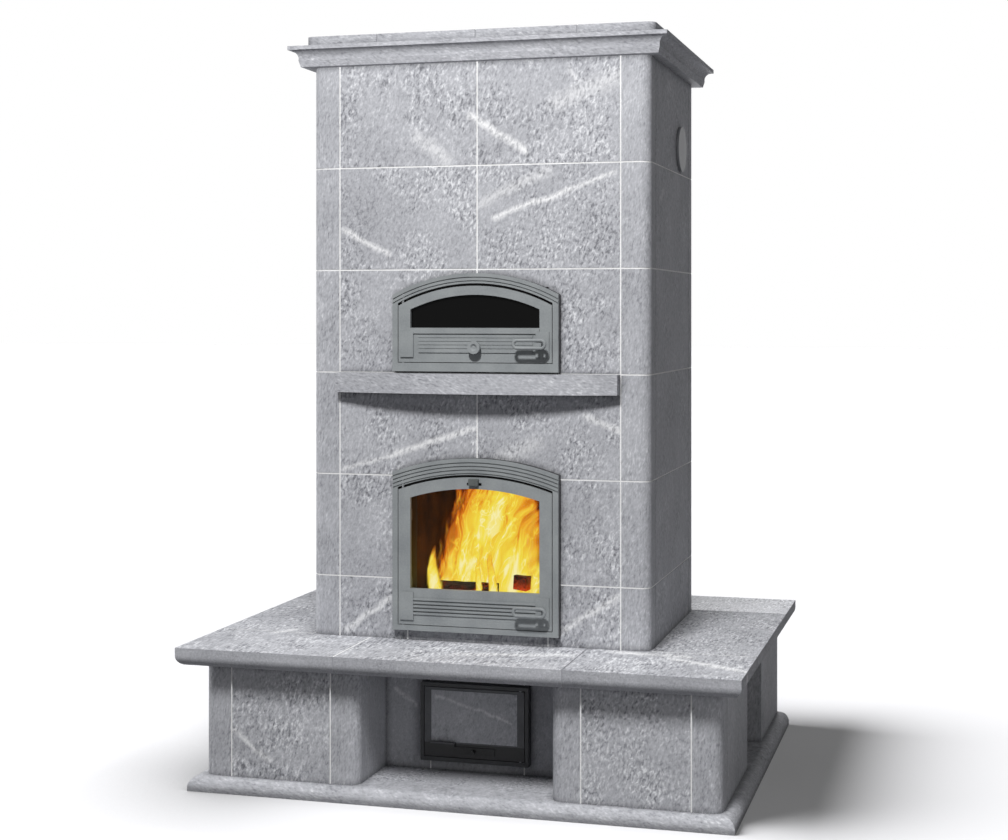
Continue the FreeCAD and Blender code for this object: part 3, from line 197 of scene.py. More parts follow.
def stoneVeins(tree, look, place, moved, lot):  # some at known places, others straying at a slant
    bent = put(tree, "TexNoise", {"Vector": moved, "Scale": mmInM / stoneCut["wanderMm"], "Detail": 4.0,
                                  "Roughness": 0.6})
    wander = Vector((1, 1, 1)) * stoneCut["wander"]
    bend = put(tree, "VectorMath", {0: bent.outputs["Color"], 1: wander, 2: place}, operation="MULTIPLY_ADD")
    bend = put(tree, "VectorMath", {0: bend, 1: wander * noiseMean}, operation="SUBTRACT")
    flat = put(tree, "VectorMath", {0: bend, 1: look["veinPlane"]}, operation="MULTIPLY")
    apart = put(tree, "SeparateXYZ", {"Vector": moved})
    side = put(tree, "Math", {0: lot.outputs["Value"], 1: stoneCut["oneWay"]}, operation="GREATER_THAN")
    slope = put(tree, "Math", {0: side, 1: 2 * stoneCut["slope"], 2: -stoneCut["slope"]},
                operation="MULTIPLY_ADD")
    run = put(tree, "Math", {0: apart.outputs["X"], 1: apart.outputs["Y"]}, operation="ADD")
    rise = put(tree, "Math", {0: run, 1: slope, 2: apart.outputs["Z"]}, operation="MULTIPLY_ADD")
    wavy = put(tree, "Math", {0: bent, 1: stoneCut["wave"], 2: rise}, operation="MULTIPLY_ADD")
    step = put(tree, "Math", {0: wavy, 1: stoneCut["strayPitch"]}, operation="PINGPONG")
    line = put(tree, "ValToRGB", {"Fac": step}, stops=[(0.0, 1.0), (stoneCut["strayWide"], 0.0)])
    far = put(tree, "TexNoise", {"Vector": moved, "Scale": mmInM / stoneCut["fadeMm"], "Detail": 4.0})
    fade = put(tree, "ValToRGB", {"Fac": far}, stops=[
        (stoneCut["fadeFrom"], 0.0), (stoneCut["fadeTo"], look["strayVeins"])])
    vein = put(tree, "Math", {0: line, 1: fade}, operation="MULTIPLY")
    for start, end, wideMm, share in look["veins"]:
        start = onPlane(start, look["veinPlane"])
        way = onPlane(end, look["veinPlane"]) - start
        fromStart = put(tree, "VectorMath", {0: flat, 1: start}, operation="SUBTRACT")
        onWay = put(tree, "VectorMath", {0: fromStart, 1: way / way.length_squared}, operation="DOT_PRODUCT")
        onWay = put(tree, "Math", {0: onWay.outputs["Value"], 1: 0.0}, operation="ADD", use_clamp=True)
        nearest = put(tree, "VectorMath", {0: onWay, 1: way}, operation="MULTIPLY")
        off = put(tree, "VectorMath", {0: fromStart, 1: nearest}, operation="DISTANCE").outputs["Value"]
        streak = put(tree, "Math", {0: off, 1: -mmInM * share / wideMm, 2: share}, operation="MULTIPLY_ADD",
                     use_clamp=True)
        vein = put(tree, "Math", {0: vein, 1: streak}, operation="MAXIMUM")
    return vein


def soapstone(look):
    finish, tree = newFinish(look["name"])
    place = put(tree, "TexCoord").outputs["Object"]
    apart = put(tree, "SeparateXYZ", {"Vector": place})
    lot, moved = cutFromQuarry(tree, look, place)
    colour, flecks, fleckHigh = stoneBody(tree, look, moved)
    vein = stoneVeins(tree, look, place, moved, lot)
    # dark flecks cut into a vein and feather it
    feather = put(tree, "ValToRGB", {"Fac": flecks}, stops=[
        (stoneCut["featherFrom"], stoneCut["featherLeast"]), (stoneCut["featherTo"], 1.0)])
    veinShare = put(tree, "Math", {0: vein, 1: feather}, operation="MULTIPLY")
    colour = put(tree, "Mix", {0: veinShare, 6: colour, 7: tone(stoneMarks["vein"])}, data_type="RGBA")
    # painted shade: ambient occlusion darkens the inner corners, and on the seat only the stone beside the
    # tower
    paintedShade = put(tree, "AmbientOcclusion", {"Distance": look["paintedShadeMm"] / mmInM}, samples=4).outputs["AO"]
    paintedShade = put(tree, "MapRange", {"Value": paintedShade, "From Min": stoneCut["shut"], "From Max": stoneCut["open"],
                                  "To Min": look["paintedShade"]})
    # painted shadow of the tower on the seat: it starts a given distance out in X, to either side of the tower
    across = put(tree, "Math", {0: apart.outputs["X"]}, operation="ABSOLUTE")
    beside = put(tree, "MapRange", {"Value": across, "From Min": look["paintedShadeFrom"],
                                    "From Max": look["paintedShadeFrom"] + stoneCut["paintedShadeFade"]})
    colour = put(tree, "Mix", {0: beside, 6: colour, 7: paintedShade}, data_type="RGBA", blend_type="MULTIPLY")
    # the fire blackens the edges of the stones around its mouth
    sooty = put(tree, "Math", {0: apart.outputs["Y"], 1: look["sootBehind"]}, operation="GREATER_THAN")
    colour = put(tree, "Mix", {0: sooty, 6: colour, 7: tone(stoneMarks["soot"])}, data_type="RGBA")
    # the dark flecks are softer than the rest and wear a little hollow
    bump = put(tree, "Bump", {"Height": fleckHigh, "Strength": look["relief"], "Distance": 0.002})
    matt = put(tree, "Math", {0: flecks, 1: stoneCut["mattSpread"], 2: stoneCut["matt"]},
               operation="MULTIPLY_ADD")
    close(tree, put(tree, "BsdfPrincipled", {
        "Base Color": colour, "Roughness": matt, "Normal": bump, "IOR": 1.55, "Specular IOR Level": 0.08}))
    return finish


honedSlab = {
    "name": "soapstoneHonedSlab", "corner": (0, farStart, firstBed), "pitch": (halves, farOff, courseHigh),
    "lean": math.radians(-18), "stretch": (1, 1, 0.55), "grain": (1, 1, 0.12),
    "cloudMm": 170, "patchMm": 120, "fleckMm": 7.5, "grainMm": 6, "speckMm": 3.5, "quiet": 0.5,
    "flecks": 1.35, "edgeFlecks": 1.0, "specks": 0.3, "clouds": 0.3, "grainShare": 0.1, "relief": 0.3,
    "strayVeins": 0.0, "veinPlane": (1, 0, 1),
    # reach and depth of the painted shade in inner corners, and from where in X it falls
    "paintedShadeMm": 22, "paintedShade": 0.3, "paintedShadeFrom": -farOff, "sootBehind": farOff,
    "veins": [  # start and end in X and Z, width in mm and how white
        ((-0.02, 1.87), (0.14, 1.77), 15, 1.0), ((0.05, 1.585), (0.27, 1.66), 12, 1.0),
        ((0.27, 1.66), (0.39, 1.705), 10, 0.8), ((0.015, 1.625), (0.205, 1.715), 22, 0.45),
        ((-0.40, 1.555), (-0.265, 1.485), 13, 0.85), ((0.225, 1.90), (0.40, 1.965), 36, 0.45),
        ((-0.17, 1.81), (-0.095, 1.75), 30, 0.5), ((0.265, 1.995), (0.285, 1.96), 9, 0.5),
        ((-0.395, 0.875), (-0.265, 0.915), 10, 0.7), ((-0.265, 0.915), (-0.01, 0.995), 13, 0.9),
        ((-0.385, 0.42), (-0.26, 0.51), 13, 0.8), ((0.25, 0.45), (0.40, 0.545), 13, 0.8),
        ((0.31, 1.035), (0.405, 1.0), 14, 0.75), ((0.065, 0.91), (0.165, 0.955), 36, 0.4)],
}
honedFront = {**honedSlab, "name": "soapstoneHonedFront", "sootBehind": -0.325}
honedPanel = {**honedSlab, "name": "soapstoneHonedPanel", "corner": (0, farStart, farStart),
              "pitch": (halves, farOff, farOff), "strayVeins": 0.3,
              "veins": [((-0.63, 0.17), (-0.53, 0.09), 12, 0.7)]}
honedInlay = {**honedPanel, "name": "soapstoneHonedInlay", "quiet": 0.25, "flecks": 0.5, "clouds": 0.2,
              "veins": [((-0.112, 0.255), (0.105, 0.19), 7, 0.55), ((-0.24, 0.26), (-0.18, 0.215), 9, 0.6)]}
honedSide = {**honedSlab, "name": "soapstoneHonedSide", "strayVeins": 0.5, "veins": [],
             "stretch": (1, 1, 0.4), "fleckMm": 6, "grainShare": 0.35, "quiet": 0.5, "flecks": 1.0}
sawnUpright = {
    **honedSlab, "name": "soapstoneSawnUpright", "corner": (0, towerMiddle, firstBed),
    "pitch": (halves, halves, courseHigh), "stretch": (1, 1, 0.4), "fleckMm": 6, "quiet": 0.3, "flecks": 0.6,
    "grain": (1, 1, 0.16), "grainMm": 5, "grainShare": 0.4, "relief": 0.15, "veins": [],
}
sawnLevel = {
    **sawnUpright, "name": "soapstoneSawnLevel", "corner": (0, farStart, farStart),
    "pitch": (halves, farOff, farOff), "grain": (0.16, 0.16, 1), "stretch": (0.4, 0.4, 1), "paintedShadeMm": 30,
    "paintedShade": 0.35,
}
honedSeat = {
    **honedSlab, "name": "soapstoneHonedSeat", "corner": (-seatSplit, farStart, farStart),
    "pitch": (2 * seatSplit, farOff, farOff), "stretch": (1, 0.25, 1), "lean": 0.0, "grain": (0.1, 0.1, 1),
    "grainShare": 0.22, "fleckMm": 6.5, "quiet": 0.7, "flecks": 1.4, "edgeFlecks": 0.25,
    # painted shade beside the tower: its reach, its depth and where in X it starts
    "paintedShadeMm": 110, "paintedShade": 0.35, "paintedShadeFrom": 0.44, "veinPlane": (1, 1, 0),
    "veins": [  # start and end in X and Y
        ((0.40, -0.36), (0.50, -0.365), 30, 0.9), ((0.54, -0.37), (0.60, -0.375), 26, 0.8),
        ((0.56, -0.41), (0.78, -0.52), 24, 0.8), ((0.0, -0.50), (0.28, -0.44), 30, 0.7),
        ((-0.605, -0.345), (-0.57, -0.285), 20, 0.8)],
}
wear(soapstone(honedFront), ["fire_front_slabs", "middle_front_slabs", "upper_front_slabs"])
wear(soapstone(honedSlab), ["back_slabs"])
wear(soapstone(honedSide), ["left_side_slabs", "right_side_slabs"])
wear(soapstone(honedPanel), ["front_panels", "wood_niche_walls", "back_panels", "base_core", "tower_base",
                             "plinth_floor", "top_cover"])
wear(soapstone(honedInlay), ["niche_back", "niche_sides", "ash_inlay"])
wear(soapstone(sawnUpright), ["front_corner_stones", "back_corner_stones", "corner_posts", "inner_posts",
                              "side_walls"])
wear(soapstone(sawnLevel), ["mantel_shelf", "cornice_front", "cornice_returns", "cap_slabs", "plinth_front",
                            "plinth_sides"])
wear(soapstone(honedSeat), ["bench_front_left", "bench_front_middle", "bench_front_right", "bench_sides",
                            "bench_back"])
print("soapstone dressed")

# Lime mortar: struck nearly flush, almost white, with sand grains that roughen it.
mortarLook = {"tones": {"sandy": (0.12, "#DEDEDD"), "pale": (0.34, "#F0F0F0")}, "dust": "#9D9EA3",
              "sandMm": 3, "blotchMm": 60, "glueUnder": 0.0005, "glueTop": 0.00098}
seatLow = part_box("bench_front_middle")[0][2]
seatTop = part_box("bench_front_middle")[1][2]
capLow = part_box("cap_slabs")[0][2]


def limeMortar():
    finish, tree = newFinish("limeMortarStruck")
    place = put(tree, "TexCoord").outputs["Object"]
    sand = put(tree, "TexNoise", {"Vector": place, "Scale": mmInM / mortarLook["sandMm"], "Detail": 2.0})
    blotch = put(tree, "TexNoise", {"Vector": place, "Scale": mmInM / mortarLook["blotchMm"], "Detail": 3.0})
    both = put(tree, "Math", {0: sand, 1: blotch}, operation="MULTIPLY")
    colour = put(tree, "ValToRGB", {"Fac": both}, stops=graded(mortarLook["tones"]))
    # the seat's nose and the cap are glued, with stone dust in the glue
    high = put(tree, "SeparateXYZ", {"Vector": place}).outputs["Z"]
    overLow = put(tree, "Math", {0: high, 1: seatLow - mortarLook["glueUnder"]}, operation="GREATER_THAN")
    underTop = put(tree, "Math", {0: high, 1: seatTop - mortarLook["glueTop"]}, operation="LESS_THAN")
    glued = put(tree, "Math", {0: overLow, 1: underTop}, operation="MULTIPLY")
    atCap = put(tree, "Math", {0: high, 1: capLow}, operation="GREATER_THAN")
    glued = put(tree, "Math", {0: glued, 1: atCap}, operation="MAXIMUM")
    colour = put(tree, "Mix", {0: glued, 6: colour, 7: tone(mortarLook["dust"])}, data_type="RGBA")
    bump = put(tree, "Bump", {"Height": sand, "Strength": 0.4, "Distance": 0.0006})
    close(tree, put(tree, "BsdfPrincipled", {
        "Base Color": colour, "Roughness": 0.9, "Normal": bump, "Specular IOR Level": 0.2}))
    return finish


mortar = limeMortar()
wear(mortar, ["joint_mortar"])

# Cast iron under sprayed stove paint: a satin film that softens a sand-cast skin, slightly uneven in tone.
castSkin = {"skinMm": 5, "blotchMm": 70, "fine": 0.5, "deepAt": 0.25, "filmAt": 0.75, "roughSpread": 0.16,
            "paintedShadeMm": 12, "shut": 0.3, "open": 0.9, "burnt": "#0B0A09", "burntFade": 0.001}
# each paint also sets how dark the painted shade in its hollows gets
greyPaint = {"name": "castIronStovePaintGrey", "deep": "#838789", "film": "#969A9B", "rough": 0.46,
             "hollow": 0.85, "burntBehind": -0.3475, "blackUnder": -farOff}
blackPaint = {"name": "castIronStovePaintBlack", "deep": "#262627", "film": "#343435", "rough": 0.42,
              "hollow": 0.5, "burntBehind": farOff, "blackUnder": -farOff}


def paintedIron(paint):
    finish, tree = newFinish(paint["name"])
    place = put(tree, "TexCoord").outputs["Object"]
    apart = put(tree, "SeparateXYZ", {"Vector": place})
    skin = put(tree, "TexNoise", {"Vector": place, "Scale": mmInM / castSkin["skinMm"], "Detail": 3.0})
    blotch = put(tree, "TexNoise", {"Vector": place, "Scale": mmInM / castSkin["blotchMm"], "Detail": 4.0})
    fine = put(tree, "Math", {0: skin, 1: castSkin["fine"], 2: -noiseMean * castSkin["fine"]},
               operation="MULTIPLY_ADD")
    film = put(tree, "Math", {0: blotch, 1: fine}, operation="ADD")
    colour = put(tree, "ValToRGB", {"Fac": film}, stops=[
        (castSkin["deepAt"], tone(paint["deep"])), (castSkin["filmAt"], tone(paint["film"]))])
    # painted shade: ambient occlusion darkens the hollows and crevices
    paintedShade = put(tree, "AmbientOcclusion", {"Distance": castSkin["paintedShadeMm"] / mmInM}, samples=8).outputs["AO"]
    hollow = put(tree, "ValToRGB", {"Fac": paintedShade}, stops=[
        (castSkin["shut"], paint["hollow"]), (castSkin["open"], 1.0)])
    colour = put(tree, "Mix", {0: 1.0, 6: colour, 7: hollow}, data_type="RGBA", blend_type="MULTIPLY")
    # the fire has burnt what lies behind the glass, and the ash door's leaf is black under its inlay
    burnt = put(tree, "MapRange", {"Value": apart.outputs["Y"], "From Max": paint["burntBehind"],
                                   "From Min": paint["burntBehind"] - castSkin["burntFade"]})
    colour = put(tree, "Mix", {0: burnt, 6: colour, 7: tone(castSkin["burnt"])}, data_type="RGBA")
    under = put(tree, "Math", {0: apart.outputs["Z"], 1: paint["blackUnder"]}, operation="LESS_THAN")
    colour = put(tree, "Mix", {0: under, 6: colour, 7: tone(blackPaint["film"])}, data_type="RGBA")
    least = paint["rough"] - noiseMean * castSkin["roughSpread"]
    rough = put(tree, "Math", {0: blotch, 1: castSkin["roughSpread"], 2: least}, operation="MULTIPLY_ADD")
    bump = put(tree, "Bump", {"Height": skin, "Strength": 0.2, "Distance": 0.0005})
    close(tree, put(tree, "BsdfPrincipled", {
        "Base Color": colour, "Roughness": rough, "Normal": bump, "Specular IOR Level": 0.2}))
    return finish


tabPaint = {**greyPaint, "name": "castIronStovePaintTab", "deep": "#565A59", "film": "#646867"}
darkPaint = {**blackPaint, "name": "castIronStovePaintDark", "deep": "#343537", "film": "#434446"}
inlayRim = 0.004  # of the ash door's leaf, under its inlay
leafPaint = {**blackPaint, "name": "castIronStovePaintLeaf", "deep": "#4C4D50", "film": "#5E5F62",
             "blackUnder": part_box("ash_inlay")[0][2] - inlayRim}
# the cleaning cover is sheet steel, painted flat to pass for the stone around it
coverPaint = {**greyPaint, "name": "sheetSteelPaintedStone", "deep": "#7A7B7F", "film": "#87888C",
              "burntBehind": farOff}
wear(paintedIron(greyPaint), ["fire_frame", "fire_leaf", "fire_handle", "oven_frame", "oven_leaf",
                              "oven_handle", "oven_slide"])
wear(paintedIron(tabPaint), ["fire_tab"])
wear(paintedIron(blackPaint), ["ash_vent", "fire_grate"])
wear(paintedIron(darkPaint), ["ash_frame"])
wear(paintedIron(leafPaint), ["ash_leaf"])
wear(paintedIron(coverPaint), ["cleaning_cover"])

# Ceramic glass, drawn flat: clear on the fire, with a low index so that the white studio hardly shows in it,
# and soot-backed and black on the oven.
glassLook = {"clear": "#F6F3EE", "soot": "#0C0C0C", "smearMm": 45, "rough": 0.06, "roughSpread": 0.12}


def clearCeramic():
    finish, tree = newFinish("glassCeramicClear")
    close(tree, put(tree, "BsdfPrincipled", {
        "Base Color": tone(glassLook["clear"]), "Roughness": 0.02, "IOR": 1.12, "Transmission Weight": 1.0}))
    return finish


def sootedCeramic():
    finish, tree = newFinish("glassCeramicSooted")
    place = put(tree, "TexCoord").outputs["Object"]
    smear = put(tree, "TexNoise", {"Vector": place, "Scale": mmInM / glassLook["smearMm"], "Detail": 4.0})
    rough = put(tree, "Math", {0: smear, 1: glassLook["roughSpread"], 2: glassLook["rough"]},
                operation="MULTIPLY_ADD")
    close(tree, put(tree, "BsdfPrincipled", {
        "Base Color": tone(glassLook["soot"]), "Roughness": rough, "IOR": 1.5, "Specular IOR Level": 0.06}))
    return finish


wear(clearCeramic(), ["fire_glass"])
wear(sootedCeramic(), ["oven_glass"])

# Rolled steel, drawn into faint lines; knitted glass-fibre rope, grey and matt; refractory stone, pressed,
# fired and browned by smoke. They show only with a door open or from behind.
steelLook = {"tones": {"deep": (0.3, "#6C6E70"), "bright": (0.7, "#96989A")}, "rollMm": 3,
             "drawn": (1, 0.04, 1), "rough": 0.3, "roughSpread": 0.2}
ropeLook = {"tones": {"deep": (0.2, "#3B3A38"), "strand": (0.8, "#6A6863")}, "strandMm": 4,
            "turn": math.radians(45), "waves": 20}  # a wave texture multiplies its place by this
brickLook = {"tones": {"soot": (0.15, "#2E1C0C"), "warm": (0.42, "#744619")}, "gritMm": 6, "blotchMm": 110}


def rolledSteel():
    finish, tree = newFinish("sheetSteelRolled")
    place = put(tree, "TexCoord").outputs["Object"]
    drawn = put(tree, "VectorMath", {0: place, 1: steelLook["drawn"]}, operation="MULTIPLY")
    lines = put(tree, "TexNoise", {"Vector": drawn, "Scale": mmInM / steelLook["rollMm"], "Detail": 2.0})
    colour = put(tree, "ValToRGB", {"Fac": lines}, stops=graded(steelLook["tones"]))
    rough = put(tree, "Math", {0: lines, 1: steelLook["roughSpread"], 2: steelLook["rough"]},
                operation="MULTIPLY_ADD")
    close(tree, put(tree, "BsdfPrincipled", {"Base Color": colour, "Roughness": rough, "Metallic": 1.0}))
    return finish


def knittedRope():
    finish, tree = newFinish("glassFibreRopeKnitted")
    place = put(tree, "TexCoord").outputs["Object"]
    turned = put(tree, "Mapping", {"Vector": place, "Rotation": (0, ropeLook["turn"], 0)},
                 vector_type="POINT")
    scale = mmInM / ropeLook["strandMm"] / ropeLook["waves"]
    strands = put(tree, "TexWave", {"Vector": turned, "Scale": scale, "Distortion": 1.0})
    colour = put(tree, "ValToRGB", {"Fac": strands}, stops=graded(ropeLook["tones"]))
    bump = put(tree, "Bump", {"Height": strands, "Strength": 0.6, "Distance": 0.001})
    close(tree, put(tree, "BsdfPrincipled", {"Base Color": colour, "Roughness": 0.95, "Normal": bump}))
    return finish


def sootedBrick():
    finish, tree = newFinish("refractoryStoneSooted")
    place = put(tree, "TexCoord").outputs["Object"]
    grit = put(tree, "TexNoise", {"Vector": place, "Scale": mmInM / brickLook["gritMm"], "Detail": 3.0})
    blotch = put(tree, "TexNoise", {"Vector": place, "Scale": mmInM / brickLook["blotchMm"], "Detail": 4.0})
    both = put(tree, "Math", {0: grit, 1: blotch}, operation="MULTIPLY")
    colour = put(tree, "ValToRGB", {"Fac": both}, stops=graded(brickLook["tones"]))
    bump = put(tree, "Bump", {"Height": grit, "Strength": 0.6, "Distance": 0.001})
    close(tree, put(tree, "BsdfPrincipled", {
        "Base Color": colour, "Roughness": 0.95, "Normal": bump, "Specular IOR Level": 0.1}))
    return finish


wear(rolledSteel(), ["ash_box", "flue_collar", "fire_clips", "oven_clips", "hinge_pins"])
wear(knittedRope(), ["fire_seal", "oven_seal"])
wear(sootedBrick(), ["firebox_floor", "core_walls", "oven_floor", "oven_roof"])
print("iron, glass and core dressed")


def made(name, build, finish, body):  # turns what was built into a piece that rides on a body
    mesh = bpy.data.meshes.new(name)
    build.to_mesh(mesh)
    build.free()
    mesh.materials.append(finish)
    thing = bpy.data.objects.new(name, mesh)
    bpy.context.scene.collection.objects.link(thing)
    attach(thing, body)
    return thing


# Firewood: burnt black and cracked across the grain, with embers glowing in the cracks
woodLook = {"tones": {"char": (0.4, "#140E0A"), "bark": (0.65, "#2C1A10")}, "ember": "#E8480C", "crackMm": 9,
            "patchMm": 60, "crackGlow": 0.7, "crackWide": 0.06, "glowFrom": 0.46, "glowTo": 0.62,
            "bedFade": 0.03, "bedWide": 0.3, "bedLeast": 0.25,
            "emberTops": {"firewoodCharred": 0.46, "firewoodGlowing": 0.56}}  # heights lit by the embers
logLook = {"taper": 0.94, "uneven": 0.1, "rings": 6}
logs = [  # middle, length and radius in m, turn about the upright and roll about the log in degrees
    {"name": "logLong", "middle": (-0.064, -0.212, 0.507), "long": 0.185, "radius": 0.045, "sides": 20,
     "turn": 4, "roll": 0, "finish": "firewoodCharred"},
    {"name": "logUnder", "middle": (0.085, -0.115, 0.498), "long": 0.2, "radius": 0.036, "sides": 20,
     "turn": -12, "roll": 0, "finish": "firewoodCharred"},
    {"name": "logAcross", "middle": (0.105, -0.125, 0.553), "long": 0.2, "radius": 0.029, "sides": 4,
     "turn": 84, "roll": 50, "finish": "firewoodGlowing"},
    {"name": "logBack", "middle": (-0.02, 0.0, 0.507), "long": 0.34, "radius": 0.045, "sides": 20,
     "turn": -6, "roll": 0, "finish": "firewoodCharred"},
]


def charredWood(name, emberTop):
    finish, tree = newFinish(name)
    place = put(tree, "TexCoord").outputs["Object"]
    cracks = put(tree, "TexVoronoi", {"Vector": place, "Scale": mmInM / woodLook["crackMm"]},
                 feature="DISTANCE_TO_EDGE")
    patch = put(tree, "TexNoise", {"Vector": place, "Scale": mmInM / woodLook["patchMm"], "Detail": 3.0})
    colour = put(tree, "ValToRGB", {"Fac": patch}, stops=graded(woodLook["tones"]))
    hot = put(tree, "ValToRGB", {"Fac": cracks}, stops=[
        (0.0, woodLook["crackGlow"]), (woodLook["crackWide"], 0.0)])
    where = put(tree, "ValToRGB", {"Fac": patch}, stops=[
        (woodLook["glowFrom"], 0.0), (woodLook["glowTo"], 1.0)])
    glow = put(tree, "Math", {0: hot, 1: where}, operation="MULTIPLY")
    bump = put(tree, "Bump", {"Height": cracks, "Strength": 0.7, "Distance": 0.006})
    # the side that faces the bed of embers glows all over
    high = put(tree, "SeparateXYZ", {"Vector": place}).outputs["Z"]
    under = put(tree, "MapRange", {"Value": high, "From Min": emberTop,
                                   "From Max": emberTop - woodLook["bedFade"]})
    lit = put(tree, "ValToRGB", {"Fac": cracks}, stops=[
        (0.0, 1.0), (woodLook["bedWide"], woodLook["bedLeast"])])
    under = put(tree, "Math", {0: under, 1: lit}, operation="MULTIPLY")
    glow = put(tree, "Math", {0: glow, 1: under}, operation="MAXIMUM")
    close(tree, put(tree, "BsdfPrincipled", {
        "Base Color": colour, "Roughness": 0.9, "Normal": bump, "Emission Color": tone(woodLook["ember"]),
        "Emission Strength": glow}))
    return finish


def fireLog(log, finish):
    build = bmesh.new()
    bmesh.ops.create_cone(build, cap_ends=True, segments=log["sides"], depth=log["long"],
                          radius1=log["radius"], radius2=log["radius"] * logLook["taper"])
    half = log["long"] / 2
    lengthwise = [edge for edge in build.edges if abs(edge.verts[0].co.z - edge.verts[1].co.z) > half]
    bmesh.ops.subdivide_edges(build, edges=lengthwise, cuts=logLook["rings"])
    for vert in build.verts:  # bark and splits make a log uneven
        share = 1 - logLook["uneven"] * random.random()
        vert.co.x *= share
        vert.co.y *= share
    turn = Matrix.Rotation(math.radians(log["turn"]), 4, "Z")
    lay = Matrix.Rotation(math.pi / 2, 4, "Y")
    roll = Matrix.Rotation(math.radians(log["roll"]), 4, "Z")
    lie = Matrix.Translation(log["middle"]) @ turn @ lay @ roll
    bmesh.ops.transform(build, matrix=lie, verts=build.verts)
    made(log["name"], build, finish, "heater")


random.seed(7)
woods = {name: charredWood(name, top) for name, top in woodLook["emberTops"].items()}
for log in logs:
    fireLog(log, woods[log["finish"]])

# Flames: burning gas, clear at its edges and white-hot where it is thickest
flameTones = {"smoke": (0.0, "#220B04"), "white": (1.0, "#FEF6B4"), "red": (0.18, "#74290A"),
              "orange": (0.33, "#CC660F"), "amber": (0.48, "#EFA02A"), "gold": (0.62, "#F5CB3C"),
              "yellow": (0.8, "#FAE650")}
flameForm = {  # what all the flames share
    "foot": 0.53, "lean": 0.38, "drift": 0.24, "drawn": 0.32,  # height of the foot in m, and slopes
    "swayMm": 130, "sway": 0.09, "streakMm": 42, "ragged": 1.5,
    "wispMm": 30, "wispWide": 0.03, "wispHeat": 0.2,
    "edge": 0.07, "inside": 0.62, "cooling": 0.75,  # width of the left edge in m, heat inside and lost per m
    "middle": 0.5, "sides": 0.4, "tip": 0.5, "core": 0.35,  # shares of a tongue's width and height
    "thickAt": 0.28, "torn": 0.9, "tornFrom": 0.55, "tornTo": 1.0,
    "strips": 4, "bulge": 0.25,
}
flameLooks = {
    "front": {"name": "woodFlameFront", "bright": 0.25, "shift": 0.0, "left": -0.213, "reach": 0.04,
              "least": -0.25},
    "back": {"name": "woodFlameBack", "bright": 0.10, "shift": 3.7, "left": -0.22, "reach": 0.16,
             "least": 0.3},
    "licking": {"name": "woodFlameLicking", "bright": 0.24, "shift": 1.9, "left": -0.35, "reach": 0.02,
                "least": 0.0},
}
flames = [  # place in Y, then X, height and half width from the foot to the tip
    {"name": "flameLick0", "look": "licking", "deep": -0.262, "spine": [  # licks pass before the long log
        (-0.136, 0.50, 0.026), (-0.146, 0.55, 0.027), (-0.153, 0.59, 0.021), (-0.150, 0.635, 0.012),
        (-0.141, 0.68, 0.003)]},
    {"name": "flameLick1", "look": "licking", "deep": -0.262, "spine": [
        (-0.026, 0.50, 0.010), (-0.014, 0.54, 0.013), (-0.018, 0.60, 0.009), (-0.012, 0.66, 0.002)]},
    {"name": "flameLick2", "look": "licking", "deep": -0.266, "spine": [
        (0.030, 0.50, 0.018), (0.028, 0.55, 0.018), (0.018, 0.62, 0.012), (0.020, 0.68, 0.002)]},
    {"name": "flameTongue0", "look": "front", "deep": -0.160, "spine": [  # tongues rise behind it
        (-0.13, 0.50, 0.04), (-0.135, 0.60, 0.045), (-0.11, 0.70, 0.04), (-0.075, 0.80, 0.035),
        (-0.04, 0.90, 0.012)]},
    {"name": "flameTongue1", "look": "front", "deep": -0.170, "spine": [
        (-0.06, 0.50, 0.05), (-0.06, 0.60, 0.05), (-0.04, 0.72, 0.045), (-0.01, 0.84, 0.035),
        (0.01, 0.93, 0.012)]},
    {"name": "flameTongue2", "look": "front", "deep": -0.150, "spine": [
        (0.02, 0.50, 0.055), (0.01, 0.62, 0.055), (0.03, 0.74, 0.05), (0.04, 0.86, 0.04),
        (0.06, 0.96, 0.012)]},
    {"name": "flameTongue3", "look": "front", "deep": -0.170, "spine": [
        (0.10, 0.50, 0.05), (0.10, 0.62, 0.05), (0.11, 0.74, 0.045), (0.10, 0.86, 0.03),
        (0.11, 0.93, 0.01)]},
    {"name": "flameTongue4", "look": "front", "deep": -0.165, "spine": [
        (0.16, 0.50, 0.035), (0.165, 0.60, 0.035), (0.155, 0.72, 0.03), (0.16, 0.82, 0.01)]},
    {"name": "flameBack", "look": "back", "deep": -0.12, "spine": [
        (-0.01, 0.47, 0.19), (-0.01, 0.65, 0.19), (0.01, 0.85, 0.18), (0.03, 1.05, 0.16)]},
    {"name": "flameMiddle", "look": "front", "deep": -0.165, "spine": [
        (0.0, 0.47, 0.185), (0.0, 0.65, 0.185), (0.015, 0.85, 0.17), (0.03, 1.0, 0.15)]},
]


